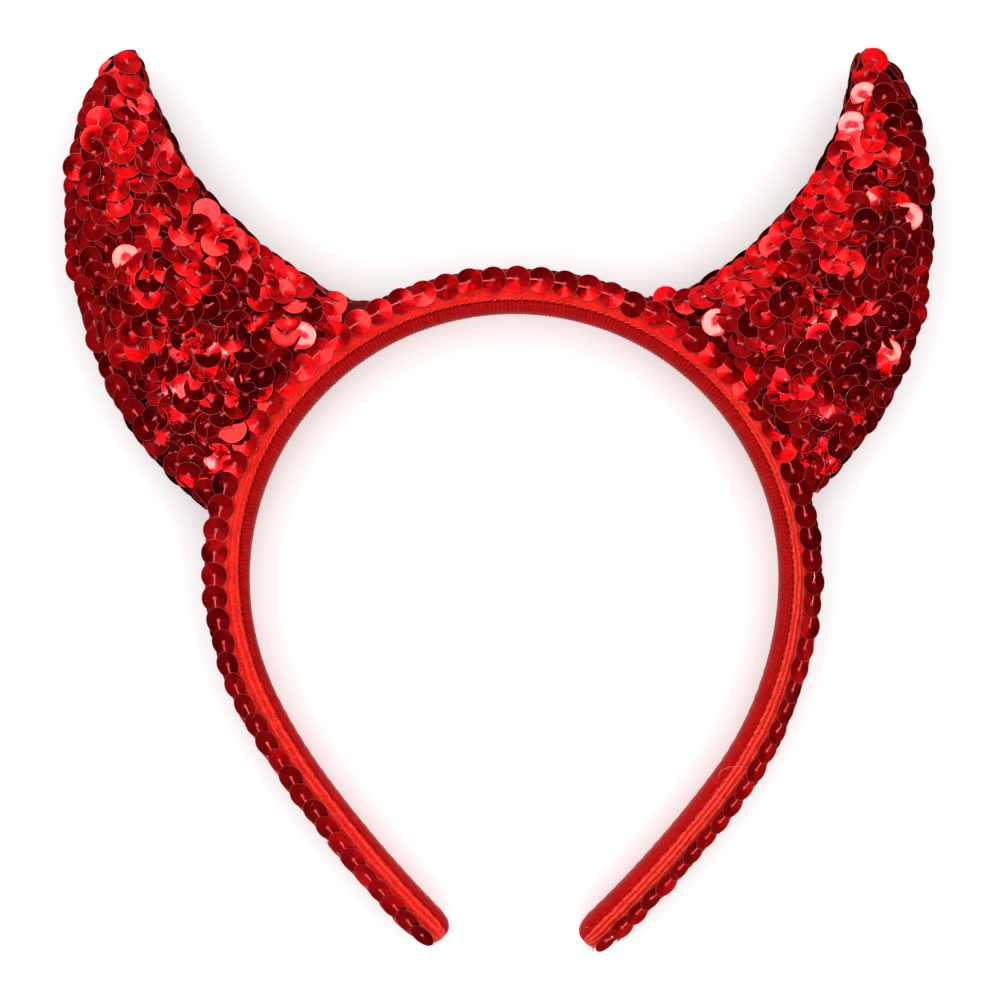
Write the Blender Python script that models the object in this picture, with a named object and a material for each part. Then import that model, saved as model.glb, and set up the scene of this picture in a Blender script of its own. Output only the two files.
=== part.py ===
"""Devil horns headband: a satin-wrapped band, strings of cup sequins and two stuffed horns.

The pieces are laid out in the headband's own plane and hang from one empty, which lays the whole thing
on its back: +Z is the side that faces forward when it is worn, +Y runs from the leg tips to the horn
tips, and the surface it lies on is z = 0. In the headband's plane, a place is given by

    x, y   across and up, measured from the centre of the crown's inner arc
    z      towards the front, with 0 in the middle of the band

Units are metres.
"""

import math
from collections import namedtuple

import bpy
import bmesh
import numpy as np
from mathutils import Matrix, Vector

MM = 0.001

# Band: the inner edge is a chain of arcs down each side, starting at the top of the crown
Arc = namedtuple("Arc", "radius length")
CROWN_RADIUS = 59.4 * MM
RIGHT_ARCS = (
    Arc(radius=CROWN_RADIUS, length=96.4 * MM),
    Arc(radius=73.6 * MM, length=43.0 * MM),
    Arc(radius=251.0 * MM, length=60.0 * MM),
)
LEFT_ARCS = (
    Arc(radius=CROWN_RADIUS, length=122.6 * MM),
    Arc(radius=135.0 * MM, length=19.7 * MM),
    Arc(radius=283.0 * MM, length=60.0 * MM),
)
RIGHT_LEG_END = 186.3 * MM
LEFT_LEG_END = -184.8 * MM
TIP_LENGTH = 5.5 * MM
BAND_STEP = 6.0 * MM
TIP_STATIONS = 5
TIP_LAST_TURN = math.radians(78.0)
TIP_ROUNDNESS = 0.6

# Half of the band's section, from the inner face round to the outer face, mirrored to the back
Rim = namedtuple("Rim", "out front")
BAND_SECTION = (
    Rim(out=0.0 * MM, front=2.4 * MM),
    Rim(out=0.8 * MM, front=3.7 * MM),
    Rim(out=2.5 * MM, front=4.5 * MM),
    Rim(out=4.6 * MM, front=4.7 * MM),
    Rim(out=6.3 * MM, front=4.2 * MM),
    Rim(out=7.0 * MM, front=3.0 * MM),
    Rim(out=7.3 * MM, front=1.3 * MM),
)
BAND_CORE = Rim(out=3.75 * MM, front=0.0)
BAND_OUT = BAND_SECTION[-1].out

# Strings of sequins
SEQUIN_RADIUS = 3.0 * MM
SEQUIN_THICKNESS = 0.45 * MM
SEQUIN_SIDES = 10
SEQUIN_PITCH = 4.8 * MM
SHINGLE_LEAN = math.radians(3.0)
STRING_END_MARGIN = 5.4 * MM

# Clearance between pieces, and what is added to it over curved faces made of flat facets
PIECE_GAP = 0.3 * MM
FACET_ALLOWANCE = 0.1 * MM

# How the shoulder strings sit along the band: how far the discs lean away from the front, and how far out
# from the inner edge their centres lie. They rest on the band at that lean.
Seat = namedtuple("Seat", "along lean out")
SHOULDER_SEATS = (
    Seat(along=-182 * MM, lean=57, out=7.35 * MM),
    Seat(along=-140 * MM, lean=50, out=7.15 * MM),
    Seat(along=-110 * MM, lean=34, out=7.20 * MM),
    Seat(along=-82 * MM, lean=17, out=7.50 * MM),
    Seat(along=66 * MM, lean=16, out=7.35 * MM),
    Seat(along=78 * MM, lean=42, out=7.55 * MM),
    Seat(along=90 * MM, lean=51, out=7.55 * MM),
    Seat(along=182 * MM, lean=57, out=7.40 * MM),
)

# The middle string lies flat on the outer face, broken by the horns. Down the legs, where the shoulder
# strings lean over it, it is a plain strip.
Run = namedtuple("Run", "start end")
CROWN_RUN = Run(start=-21.6 * MM, end=19.2 * MM)
LEG_RUNS = {
    "left_leg_sequin_row": Run(start=-178.0 * MM, end=-82.0 * MM),
    "right_leg_sequin_row": Run(start=80.0 * MM, end=179.0 * MM),
}
MIDDLE_RISE = 0.75 * MM
STRIP_HALF_WIDTH = 1.35 * MM
STRIP_THICKNESS = 0.6 * MM

# Horns: a section from the outer edge to the inner edge in each row, from the band to the tip, all in
# millimetres. Bow is how far the section curves towards the tip, and depth is the half-thickness at its
# middle.
Section = namedtuple("Section", "outer_x outer_y inner_x inner_y bow depth")
LEFT_HORN = (
    Section(-78.6, 23.9, -37.6, 63.4, 4.0, 6.2),
    Section(-84.7, 31.4, -45.6, 67.6, 2.6, 8.9),
    Section(-90.9, 42.1, -54.4, 73.9, 1.2, 10.2),
    Section(-95.3, 53.5, -62.0, 80.5, 0.6, 10.6),
    Section(-98.7, 65.8, -68.8, 87.4, 0.4, 10.3),
    Section(-100.3, 78.1, -73.8, 94.8, 0.3, 9.5),
    Section(-99.9, 89.3, -77.4, 101.4, 0.3, 8.3),
    Section(-97.9, 100.5, -79.9, 107.2, 0.3, 6.8),
    Section(-94.5, 109.9, -81.9, 112.1, 0.3, 5.0),
    Section(-91.2, 116.0, -82.8, 116.1, 0.3, 3.0),
    Section(-88.8, 118.0, -83.9, 118.4, 0.2, 1.4),
)
RIGHT_HORN = (
    Section(73.5, 25.2, 36.5, 64.0, 4.0, 6.2),
    Section(79.2, 31.7, 43.8, 68.2, 2.6, 8.9),
    Section(84.8, 40.7, 51.6, 73.8, 1.2, 10.2),
    Section(89.1, 50.6, 57.8, 79.6, 0.6, 10.6),
    Section(91.9, 61.6, 62.4, 84.9, 0.4, 10.3),
    Section(93.3, 73.6, 66.3, 90.2, 0.3, 9.6),
    Section(93.3, 85.7, 69.7, 96.4, 0.3, 8.6),
    Section(92.0, 97.3, 72.2, 101.6, 0.3, 7.2),
    Section(89.6, 106.4, 73.7, 107.2, 0.3, 5.5),
    Section(86.5, 113.5, 74.6, 113.0, 0.3, 3.9),
    Section(83.5, 117.1, 76.0, 117.0, 0.3, 2.4),
    Section(81.2, 118.6, 77.8, 118.7, 0.1, 1.2),
)

# Each horn stands on the band's outer face between two angles from the crown's top, on a low neck that
# passes between the shoulder strings
NeckArc = namedtuple("NeckArc", "out depth")
HORN_NECK = (
    NeckArc(out=BAND_OUT + PIECE_GAP + FACET_ALLOWANCE, depth=2.5 * MM),
    NeckArc(out=10.8 * MM, depth=2.7 * MM),
)
LEFT_BASE_TURN = Run(start=math.radians(-77.0), end=math.radians(-27.5))
RIGHT_BASE_TURN = Run(start=math.radians(74.0), end=math.radians(25.5))
HORN_ACROSS = 10
HORN_ROWS = 17
HORN_FULLNESS = 0.62
SEAM_HALF_THICKNESS = 0.35 * MM

# How the headband lies: its horns are thicker than its legs, so the crown rides a little higher
LYING_TILT = math.radians(1.5)
PLANE_CENTRE = Vector((3.42 * MM, -18.32 * MM, 8.52 * MM))

# Colours: Principled base colours of the three finishes
Finish = namedtuple("Finish", "colour roughness metallic")
SATIN_RED = Finish(colour=(0.78, 0.012, 0.008, 1.0), roughness=0.45, metallic=0.0)
SEQUIN_RED = Finish(colour=(0.62, 0.008, 0.018, 1.0), roughness=0.2, metallic=0.7)
HORN_RED = Finish(colour=(0.42, 0.006, 0.012, 1.0), roughness=0.6, metallic=0.2)


def clear_scene():
    """Remove every object that the file opened with."""
    for item in list(bpy.data.objects):
        bpy.data.objects.remove(item, do_unlink=True)


def make_material(name, finish):
    """One Principled material from a named finish."""
    material = bpy.data.materials.new(name)
    material.use_nodes = True
    shader = material.node_tree.nodes["Principled BSDF"]
    shader.inputs["Base Color"].default_value = finish.colour
    shader.inputs["Roughness"].default_value = finish.roughness
    shader.inputs["Metallic"].default_value = finish.metallic
    return material


def make_object(name, mesh, material, parent):
    """Put a mesh in the scene under the empty that lays the headband down."""
    item = bpy.data.objects.new(name, mesh)
    bpy.context.scene.collection.objects.link(item)
    item.parent = parent
    mesh.materials.append(material)
    return item


def mesh_from_rings(name, rings, cap):
    """A closed skin through rings of points, each ring a loop of the same count."""
    count = len(rings[0])
    bm = bmesh.new()
    loops = [[bm.verts.new(point) for point in ring] for ring in rings]
    for loop, following in zip(loops, loops[1:]):
        for index in range(count):
            after = (index + 1) % count
            bm.faces.new((loop[index], loop[after], following[after], following[index]))
    for loop in (loops[0], loops[-1]):
        cap(bm, loop)
    bmesh.ops.recalc_face_normals(bm, faces=bm.faces)
    mesh = bpy.data.meshes.new(name)
    bm.to_mesh(mesh)
    bm.free()
    return mesh


def cap_with_one_face(bm, loop):
    """Close a flat ring with a single polygon."""
    bm.faces.new(loop)


def cap_front_to_back(bm, loop):
    """Close a bowed ring with strips that run straight from its front half to its back half."""
    half = len(loop) // 2
    for step in range(half):
        front = loop[step]
        next_front = loop[step + 1]
        back = loop[(-step) % len(loop)]
        next_back = loop[(-step - 1) % len(loop)]
        corners = []
        for corner in (front, next_front, next_back, back):
            if corner not in corners:
                corners.append(corner)
        bm.faces.new(corners)


def band_frame(along):
    """Point on the inner edge and the direction away from the head, at a distance from the crown's top.

    The distance is positive down the right leg and negative down the left one.
    """
    side = 1.0 if along >= 0 else -1.0
    arcs = RIGHT_ARCS if along >= 0 else LEFT_ARCS
    left_to_go = abs(along)
    turn = 0.0
    centre = Vector((0.0, 0.0))
    for arc, following in zip(arcs, arcs[1:] + (None,)):
        if following is None or left_to_go <= arc.length:
            turn += left_to_go / arc.radius
            outward = Vector((math.sin(turn), math.cos(turn)))
            point = centre + outward * arc.radius
            break
        turn += arc.length / arc.radius
        left_to_go -= arc.length
        outward = Vector((math.sin(turn), math.cos(turn)))
        centre += outward * (arc.radius - following.radius)
    return Vector((side * point.x, point.y)), Vector((side * outward.x, outward.y))


def band_point(along, out, front):
    """A place beside the band: its distance along, its distance out from the inner edge, and its height."""
    edge, outward = band_frame(along)
    flat = edge + outward * out
    return Vector((flat.x, flat.y, front))


def band_ring(along, fullness):
    """The band's section at one station, shrunk towards its core by the fullness."""
    front_half = [(rim.out, rim.front) for rim in BAND_SECTION]
    back_half = [(rim.out, -rim.front) for rim in reversed(BAND_SECTION)]
    ring = []
    for out, front in front_half + back_half:
        shrunk_out = BAND_CORE.out + (out - BAND_CORE.out) * fullness
        ring.append(band_point(along, shrunk_out, front * fullness))
    return ring


def tip_stations(end):
    """Stations and fullnesses that round a leg's end off, listed towards the end."""
    sign = 1.0 if end > 0 else -1.0
    stations = []
    for step in range(TIP_STATIONS):
        angle = TIP_LAST_TURN * (step + 1) / TIP_STATIONS
        along = end - sign * TIP_LENGTH * (1.0 - math.sin(angle))
        stations.append((along, math.cos(angle) ** TIP_ROUNDNESS))
    return stations


def make_band(material, parent):
    """The padded band in its satin ribbon, with a flat facet centred on the crown's inner face."""
    full_start = LEFT_LEG_END + TIP_LENGTH
    full_end = RIGHT_LEG_END - TIP_LENGTH
    most_steps = math.ceil(max(-full_start, full_end) / BAND_STEP)
    centred = [(step + 0.5) * BAND_STEP for step in range(-most_steps - 1, most_steps + 1)]
    middle = [along for along in centred if full_start + BAND_STEP / 2 < along < full_end - BAND_STEP / 2]
    stations = [(along, 1.0) for along in [full_start] + middle + [full_end]]
    stations = list(reversed(tip_stations(LEFT_LEG_END))) + stations + tip_stations(RIGHT_LEG_END)
    rings = [band_ring(along, fullness) for along, fullness in stations]
    mesh = mesh_from_rings("satin_band", rings, cap_with_one_face)
    return make_object("satin_band", mesh, material, parent)


def seat_front(lean, out):
    """Height of a shoulder sequin's centre, so that it clears the band's section by the gap."""
    reach = max(rim.out * math.sin(lean) + rim.front * math.cos(lean) for rim in BAND_SECTION)
    clearance = PIECE_GAP + SEQUIN_THICKNESS / 2 + SEQUIN_RADIUS * math.sin(SHINGLE_LEAN)
    return (reach + clearance - out * math.sin(lean)) / math.cos(lean)


def shoulder_seat(along):
    """Lean and centre of a shoulder sequin at a distance along the band, between the table's rows."""
    stations = [seat.along for seat in SHOULDER_SEATS]
    lean = math.radians(np.interp(along, stations, [seat.lean for seat in SHOULDER_SEATS]))
    out = np.interp(along, stations, [seat.out for seat in SHOULDER_SEATS])
    return lean, out, seat_front(lean, out)


def sequin_matrix(along, lean, out, front):
    """Frame of one sequin of a string: local z is its face, local x runs back to the one before."""
    centre = band_point(along, out, front)
    outward = band_frame(along)[1]
    outward = Vector((outward.x, outward.y, 0.0))
    side = -1.0 if front < 0 else 1.0
    face = outward * math.sin(lean) + Vector((0.0, 0.0, side * math.cos(lean)))
    before = Vector((outward.y, -outward.x, 0.0))
    tipped_face = (face * math.cos(SHINGLE_LEAN) - before * math.sin(SHINGLE_LEAN)).normalized()
    across = tipped_face.cross(before).normalized()
    forward = across.cross(tipped_face)
    turn = Matrix((forward, across, tipped_face)).transposed().to_4x4()
    return Matrix.Translation(centre) @ turn


def add_disc(bm, matrix):
    """One flat closed sequin."""
    bmesh.ops.create_cone(
        bm,
        cap_ends=True,
        segments=SEQUIN_SIDES,
        radius1=SEQUIN_RADIUS,
        radius2=SEQUIN_RADIUS,
        depth=SEQUIN_THICKNESS,
        matrix=matrix,
    )


def even_stations(start, end):
    """Distances along the band, a sequin's pitch apart as nearly as the stretch allows."""
    count = round((end - start) / SEQUIN_PITCH)
    return [start + (end - start) * step / count for step in range(count + 1)]


def make_string(name, frames, material, parent):
    """A string of overlapping sequins, fused into one body."""
    meshes = []
    for parity in (0, 1):
        bm = bmesh.new()
        for frame in frames[parity::2]:
            add_disc(bm, frame)
        mesh = bpy.data.meshes.new(name)
        bm.to_mesh(mesh)
        bm.free()
        meshes.append(mesh)
    string = make_object(name, meshes[0], material, parent)
    others = make_object(name + "_cutter", meshes[1], material, parent)
    others.hide_render = True
    others.display_type = "WIRE"
    fuse = string.modifiers.new("fuse", "BOOLEAN")
    fuse.operation = "UNION"
    fuse.solver = "EXACT"
    fuse.object = others
    return string


def shoulder_frames(side):
    """Frames of the sequins from one leg tip to the other, on the front or the back shoulder."""
    frames = []
    for along in even_stations(LEFT_LEG_END + STRING_END_MARGIN, RIGHT_LEG_END - STRING_END_MARGIN):
        lean, out, front = shoulder_seat(along)
        frames.append(sequin_matrix(along, lean, out, side * front))
    return frames


def crown_frames():
    """Frames of the middle string's sequins over the crown, flat on the band's outer face."""
    stations = even_stations(CROWN_RUN.start, CROWN_RUN.end)
    return [sequin_matrix(along, math.pi / 2, BAND_OUT + MIDDLE_RISE, 0.0) for along in stations]


def make_leg_strip(name, run, material, parent):
    """The middle string down one leg, as a thin strip on the band's outer face."""
    low = BAND_OUT + PIECE_GAP + FACET_ALLOWANCE
    high = low + STRIP_THICKNESS
    corners = ((low, -1), (low, 1), (high, 1), (high, -1))
    rings = []
    for along in even_stations(run.start, run.end):
        rings.append([band_point(along, out, side * STRIP_HALF_WIDTH) for out, side in corners])
    mesh = mesh_from_rings(name, rings, cap_with_one_face)
    return make_object(name, mesh, material, parent)


def rest_height(y):
    """Height in the headband's plane of the surface that it lies on."""
    return -(PLANE_CENTRE.z + y * math.sin(LYING_TILT)) / math.cos(LYING_TILT)


def horn_section_points(section):
    """Points across one table row, from the outer edge to the inner edge, with the half-depth at each."""
    outer = Vector((section.outer_x, section.outer_y)) * MM
    inner = Vector((section.inner_x, section.inner_y)) * MM
    chord = inner - outer
    to_tip = Vector((-chord.y, chord.x)).normalized()
    if to_tip.y < 0:
        to_tip = -to_tip
    points = []
    for step in range(HORN_ACROSS + 1):
        share = step / HORN_ACROSS
        place = 2.0 * share - 1.0
        bow = section.bow * MM * (1.0 - place * place)
        spot = outer + chord * share + to_tip * bow
        points.append((spot.x, spot.y, section.depth * MM))
    return points


def horn_neck_points(neck, turn):
    """Points across the horn's neck: an arc that follows the band's outer face."""
    points = []
    for step in range(HORN_ACROSS + 1):
        angle = turn.start + (turn.end - turn.start) * step / HORN_ACROSS
        radius = CROWN_RADIUS + neck.out
        points.append((radius * math.sin(angle), radius * math.cos(angle), neck.depth))
    return points


def smooth_rows(rows, count):
    """Rows spread evenly from base to tip on Catmull-Rom curves through the given ones."""
    table = np.array(rows)
    middles = table[:, HORN_ACROSS // 2, :2]
    steps = np.linalg.norm(np.diff(middles, axis=0), axis=1)
    knots = np.concatenate(([0.0], np.cumsum(steps)))
    slopes = np.zeros_like(table)
    slopes[1:-1] = (table[2:] - table[:-2]) / (knots[2:] - knots[:-2])[:, None, None]
    slopes[0] = (table[1] - table[0]) / steps[0]
    slopes[-1] = (table[-1] - table[-2]) / steps[-1]
    spread = []
    for place in np.linspace(0.0, knots[-1], count):
        row = min(int(np.searchsorted(knots, place, side="right")) - 1, len(steps) - 1)
        length = steps[row]
        share = (place - knots[row]) / length
        value = table[row] * (1 + 2 * share) * (1 - share) ** 2
        value = value + slopes[row] * length * share * (1 - share) ** 2
        value = value + table[row + 1] * share ** 2 * (3 - 2 * share)
        value = value - slopes[row + 1] * length * share ** 2 * (1 - share)
        spread.append(value)
    return spread


def horn_ring(row):
    """A lens-shaped loop round one row: out along the front, back along the flattened back."""
    front = []
    back = []
    for step, (x, y, depth) in enumerate(row):
        place = 2.0 * step / HORN_ACROSS - 1.0
        half = SEAM_HALF_THICKNESS + depth * (1.0 - place * place) ** HORN_FULLNESS
        if step in (0, HORN_ACROSS):
            front.append(Vector((x, y, 0.0)))
            continue
        front.append(Vector((x, y, half)))
        back.append(Vector((x, y, max(-half, rest_height(y)))))
    return front + list(reversed(back))


def make_horn(name, table, base_turn, material, parent):
    """One stuffed horn, flat where its back lies on the surface."""
    neck = [horn_neck_points(arc, base_turn) for arc in HORN_NECK]
    rows = neck[1:] + [horn_section_points(section) for section in table]
    rings = [horn_ring(row) for row in neck[:1] + smooth_rows(rows, HORN_ROWS)]
    mesh = mesh_from_rings(name, rings, cap_front_to_back)
    return make_object(name, mesh, material, parent)


def shade_smooth(item):
    """Smooth shading with creases kept at the sharp edges."""
    item.data.shade_smooth()
    item.data.set_sharp_from_angle(angle=math.radians(40.0))


def main():
    clear_scene()
    satin = make_material("satin_red", SATIN_RED)
    sequin = make_material("sequin_red", SEQUIN_RED)
    horn_cloth = make_material("horn_red", HORN_RED)

    lying = bpy.data.objects.new("lying_on_its_back", None)
    bpy.context.scene.collection.objects.link(lying)
    lying.location = PLANE_CENTRE
    lying.rotation_euler = (LYING_TILT, 0.0, 0.0)

    shade_smooth(make_band(satin, lying))
    make_string("front_sequin_row", shoulder_frames(1), sequin, lying)
    make_string("back_sequin_row", shoulder_frames(-1), sequin, lying)
    make_string("crown_sequin_row", crown_frames(), sequin, lying)
    for name, run in LEG_RUNS.items():
        make_leg_strip(name, run, sequin, lying)
    shade_smooth(make_horn("left_horn", LEFT_HORN, LEFT_BASE_TURN, horn_cloth, lying))
    shade_smooth(make_horn("right_horn", RIGHT_HORN, RIGHT_BASE_TURN, horn_cloth, lying))


main()
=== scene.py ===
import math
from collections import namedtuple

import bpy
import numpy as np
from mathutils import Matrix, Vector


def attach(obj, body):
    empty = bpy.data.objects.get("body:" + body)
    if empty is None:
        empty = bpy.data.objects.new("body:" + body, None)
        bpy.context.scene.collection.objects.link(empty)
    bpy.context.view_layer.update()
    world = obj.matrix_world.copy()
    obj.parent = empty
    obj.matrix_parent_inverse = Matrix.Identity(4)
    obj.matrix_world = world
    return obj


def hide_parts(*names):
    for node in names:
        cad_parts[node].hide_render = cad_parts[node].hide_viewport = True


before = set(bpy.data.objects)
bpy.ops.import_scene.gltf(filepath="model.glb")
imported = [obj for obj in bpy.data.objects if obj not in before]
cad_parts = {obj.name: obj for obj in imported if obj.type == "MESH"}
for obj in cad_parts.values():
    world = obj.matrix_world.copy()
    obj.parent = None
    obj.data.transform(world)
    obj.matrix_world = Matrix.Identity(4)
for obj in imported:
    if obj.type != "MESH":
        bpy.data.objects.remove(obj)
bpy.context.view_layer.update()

# Looks of the devil horns headband: a springy band covered in satin and lined with ribbed ribbon, strings of
# red cup sequins sewn along its outer side, and two stuffed horns under a close field of the same sequins.
#
# Pieces are shaped in the headband's own plane, as in the CAD source, and then laid on the table:
#     x, y   across and up, from the centre of the crown's inner arc
#     z      towards the front, with 0 in the middle of the band
# Units are metres.

MM = 0.001

# Band, as in the CAD source
Arc = namedtuple("Arc", "radius length")
CROWN_RADIUS = 59.4 * MM
RIGHT_ARCS = (
    Arc(radius=CROWN_RADIUS, length=96.4 * MM),
    Arc(radius=73.6 * MM, length=43.0 * MM),
    Arc(radius=251.0 * MM, length=60.0 * MM),
)
LEFT_ARCS = (
    Arc(radius=CROWN_RADIUS, length=122.6 * MM),
    Arc(radius=135.0 * MM, length=19.7 * MM),
    Arc(radius=283.0 * MM, length=60.0 * MM),
)
RIGHT_LEG_END = 187.1 * MM
LEFT_LEG_END = -185.8 * MM
TIP_LENGTH = 5.0 * MM
TIP_BLUNTNESS = 0.3

Rim = namedtuple("Rim", "out front")
BAND_SECTION = (
    Rim(out=0.0 * MM, front=2.4 * MM),
    Rim(out=0.8 * MM, front=3.7 * MM),
    Rim(out=2.5 * MM, front=4.5 * MM),
    Rim(out=4.6 * MM, front=4.7 * MM),
    Rim(out=6.3 * MM, front=4.2 * MM),
    Rim(out=7.0 * MM, front=3.0 * MM),
    Rim(out=7.3 * MM, front=1.3 * MM),
)
BAND_CORE_OUT = 3.75 * MM
BAND_OUT = BAND_SECTION[-1].out

# Satin cover: half of its section in millimetres, from the inner face to the outer face. It dips into a
# groove beside the ribbon lining.
SATIN_SECTION = (
    (0.35, 0.0), (0.35, 1.2), (0.35, 2.2), (0.9, 3.3), (1.7, 3.85), (2.3, 4.0), (2.62, 3.98),
    (2.85, 4.16), (3.02, 4.46), (3.25, 4.66), (3.6, 4.72), (4.1, 4.74), (4.7, 4.72), (5.4, 4.58),
    (5.95, 4.38), (6.35, 4.12), (6.7, 3.66), (6.95, 3.1), (7.12, 2.3), (7.25, 1.4), (7.3, 0.6), (7.3, 0.0),
)
SATIN_STEP = 0.5 * MM

# Its groove, whose painted shade is deepest over the crown, and its small creases, which sway round and
# along the band
GROOVE_OUT = 2.68 * MM
GROOVE_HALF = 0.28 * MM
GROOVE_FADE = 30.0 * MM
CREASE_HEIGHT = 0.05 * MM
CREASE_LENGTH = 1.35 * MM
CREASE_SWAY = 9.0
CREASE_SWAY_ROUND = 5.0 * MM
CREASE_SWAY_ALONG = 31.0 * MM

# Ribbed lining: half of its visible face, from its edge beside the groove to the middle of the inner face
LINING_FACE = (
    (2.56, 4.08), (2.5, 4.34), (2.28, 4.46), (1.85, 4.36), (1.4, 4.16), (0.95, 3.86),
    (0.55, 3.42), (0.25, 2.9), (0.06, 2.4), (0.0, 1.6), (0.0, 0.8), (0.0, 0.0),
)
LINING_THICKNESS = 0.3 * MM

# Ribs across the lining, which slant and fade out down the legs, and the ribbon's overlapping turns there
RIB_PITCH = 0.9 * MM
RIB_HEIGHT = 0.15 * MM
RIB_SAMPLES = 5
RIBS_END = 118.0 * MM
RIBS_FADE = 22.0 * MM
RIBS_MOST_FADE = 0.86
RIBS_SLANT_FROM = 70.0 * MM
RIBS_SLANT_OVER = 60.0 * MM
RIBS_SLANT = 0.8
WRAP_PITCH = 3.1 * MM
WRAP_HEIGHT = 0.2 * MM
WRAP_START = 104.0 * MM
WRAP_GROWS_OVER = 12.0 * MM
WRAP_SLANT = 0.35
WRAP_EDGE = 0.88

# How far out the lining's edge is shifted at places along the band, in millimetres
LiningShift = namedtuple("LiningShift", "along out")
LINING_SHIFTS = (
    LiningShift(-120.0, -1.25), LiningShift(-100.0, -1.1), LiningShift(-70.0, 0.0), LiningShift(100.0, 0.0),
    LiningShift(130.0, -0.35),
)
SHIFT_GROWS_TO = 2.0 * MM
SHIFT_LEAST_FRONT = 2.0 * MM
SHIFT_FADES_FROM = 3.0 * MM
SHIFT_ENDS = 5.6 * MM

# How much painted sheen rows and shade show on the satin along the band, in millimetres from the crown's top
SheenShare = namedtuple("SheenShare", "along share")
SHEEN_SHARES = (
    SheenShare(-140.0, 0.5), SheenShare(-100.0, 0.3), SheenShare(-40.0, 0.1), SheenShare(40.0, 0.1),
    SheenShare(100.0, 0.85),
)

# Stitches between the lining and the satin
EDGE_STITCH_PITCH = 1.5 * MM
EDGE_STITCH_LENGTH = 1.35 * MM
EDGE_STITCH_SLANT = 0.5 * MM
EDGE_STITCH_OUT = 3.0 * MM
EDGE_STITCH_FRONT = 4.5 * MM
EDGE_STITCH_RADIUS = 0.13 * MM

# Arches of the threads: the share of the way along each, and the height there in millimetres
EDGE_STITCH_ARCH = ((-0.5, -0.06), (-0.25, 0.1), (0.25, 0.1), (0.5, -0.06))
FRAY_ARCH = ((0.0, -0.3), (0.35, 0.2), (0.7, 0.3), (1.0, 0.12))
THREAD_ARCH = ((0.0, -0.10), (0.12, 0.10), (0.45, 0.16), (0.75, 0.14), (1.0, 0.06))

# Loose thread: a loop in the headband's plane in millimetres, and frayed ends
LOOSE_THREAD_RADIUS = 0.09 * MM
FRAYED_ENDS = 7
FRAY_SEED = 5
FRAY_FROM_TIP = (1.4 * MM, 3.6 * MM)
FRAY_OUT = (1.6 * MM, 6.0 * MM)
FRAY_SIDEWAYS = 0.5 * MM
FRAY_REACH = (0.8 * MM, 1.9 * MM)
FRAY_HEIGHT = 4.6 * MM
FRAY_DROP = 3.4 * MM
LOOSE_LOOP = (
    (45.5, -44.3, 4.3), (45.5, -43.4, 4.9), (46.1, -42.4, 5.2), (47.9, -41.7, 5.35), (50.0, -41.5, 5.3),
    (52.4, -42.0, 5.0),
)

# Sequins
SEQUIN_RADIUS = 3.1 * MM
SEQUIN_HOLE = 0.48 * MM
SEQUIN_SHEET = 0.12 * MM
SEQUIN_SIDES = 26
CUP_DEPTH = 0.36 * MM
CUT_EDGE = 0.09 * MM
# The step from sequin to sequin by the distance from the crown's top, in millimetres
Pitch = namedtuple("Pitch", "from_top step")
STRING_PITCHES = (Pitch(0.0, 4.75), Pitch(60.0, 4.7), Pitch(82.0, 4.5), Pitch(185.0, 4.45))
STRING_SEED = 41
STRING_CUPS = (0.4, 0.8)
STRING_WARP = 0.05 * MM
StringScatter = namedtuple("StringScatter", "shingle sideways out")
STRING_SCATTER = StringScatter(shingle=math.radians(0.8), sideways=math.radians(2.6), out=0.12 * MM)
SHINGLE_LEAN = math.radians(3.6)
STRING_END_MARGIN = 3.9 * MM
SEAT_GAP = 0.2 * MM

# Shoulder strings: distance along the band in millimetres, lean in degrees, distance out in millimetres
Seat = namedtuple("Seat", "along lean out")
SHOULDER_SEATS = (
    Seat(-184, 58, 6.10), Seat(-178, 43, 6.50), Seat(-150, 38, 6.00), Seat(-131, 36, 6.20),
    Seat(-115, 34, 6.90),
    Seat(-103, 28, 7.10), Seat(-90, 11, 7.30), Seat(-76, 9, 8.10), Seat(-60, 13, 7.45), Seat(64, 13, 7.40),
    Seat(76, 25, 7.05), Seat(88, 33, 7.30), Seat(100, 43, 7.05), Seat(115, 47, 6.75), Seat(131, 48, 7.10),
    Seat(148, 48, 7.20), Seat(179, 48, 6.90), Seat(185, 60, 6.20),
)
Run = namedtuple("Run", "start end")
CROWN_RUN = Run(start=-21.6 * MM, end=19.2 * MM)
LEFT_LEG_RUN = Run(start=-178.0 * MM, end=-82.0 * MM)
RIGHT_LEG_RUN = Run(start=80.0 * MM, end=179.0 * MM)
MiddleSeat = namedtuple("MiddleSeat", "lean rise")
CROWN_SEAT = MiddleSeat(lean=math.radians(62.0), rise=1.45 * MM)
LEG_SEAT = MiddleSeat(lean=math.radians(75.0), rise=1.0 * MM)

# Thread that holds the sequins
THREAD_RADIUS = 0.18 * MM
KNOT_RADIUS = 0.36 * MM
THREAD_SIDES = 6
THREAD_SMOOTHNESS = 70.0
THREAD_START = 0.2 * MM
THREAD_BEND = 0.12 * MM
STRING_REACH = 0.3 * MM
FIELD_REACH = 0.2 * MM
LEAST_FIELD_REACH = 0.8 * MM
MOST_FIELD_REACH = 2.4 * MM
FREE_REACH = (0.6 * MM, 0.9 * MM)
HOLDING_REACH = 1.6 * SEQUIN_RADIUS
KNOT_SIDES = 8
KNOT_ROWS = 5
KNOT_FLATNESS = 0.8

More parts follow.
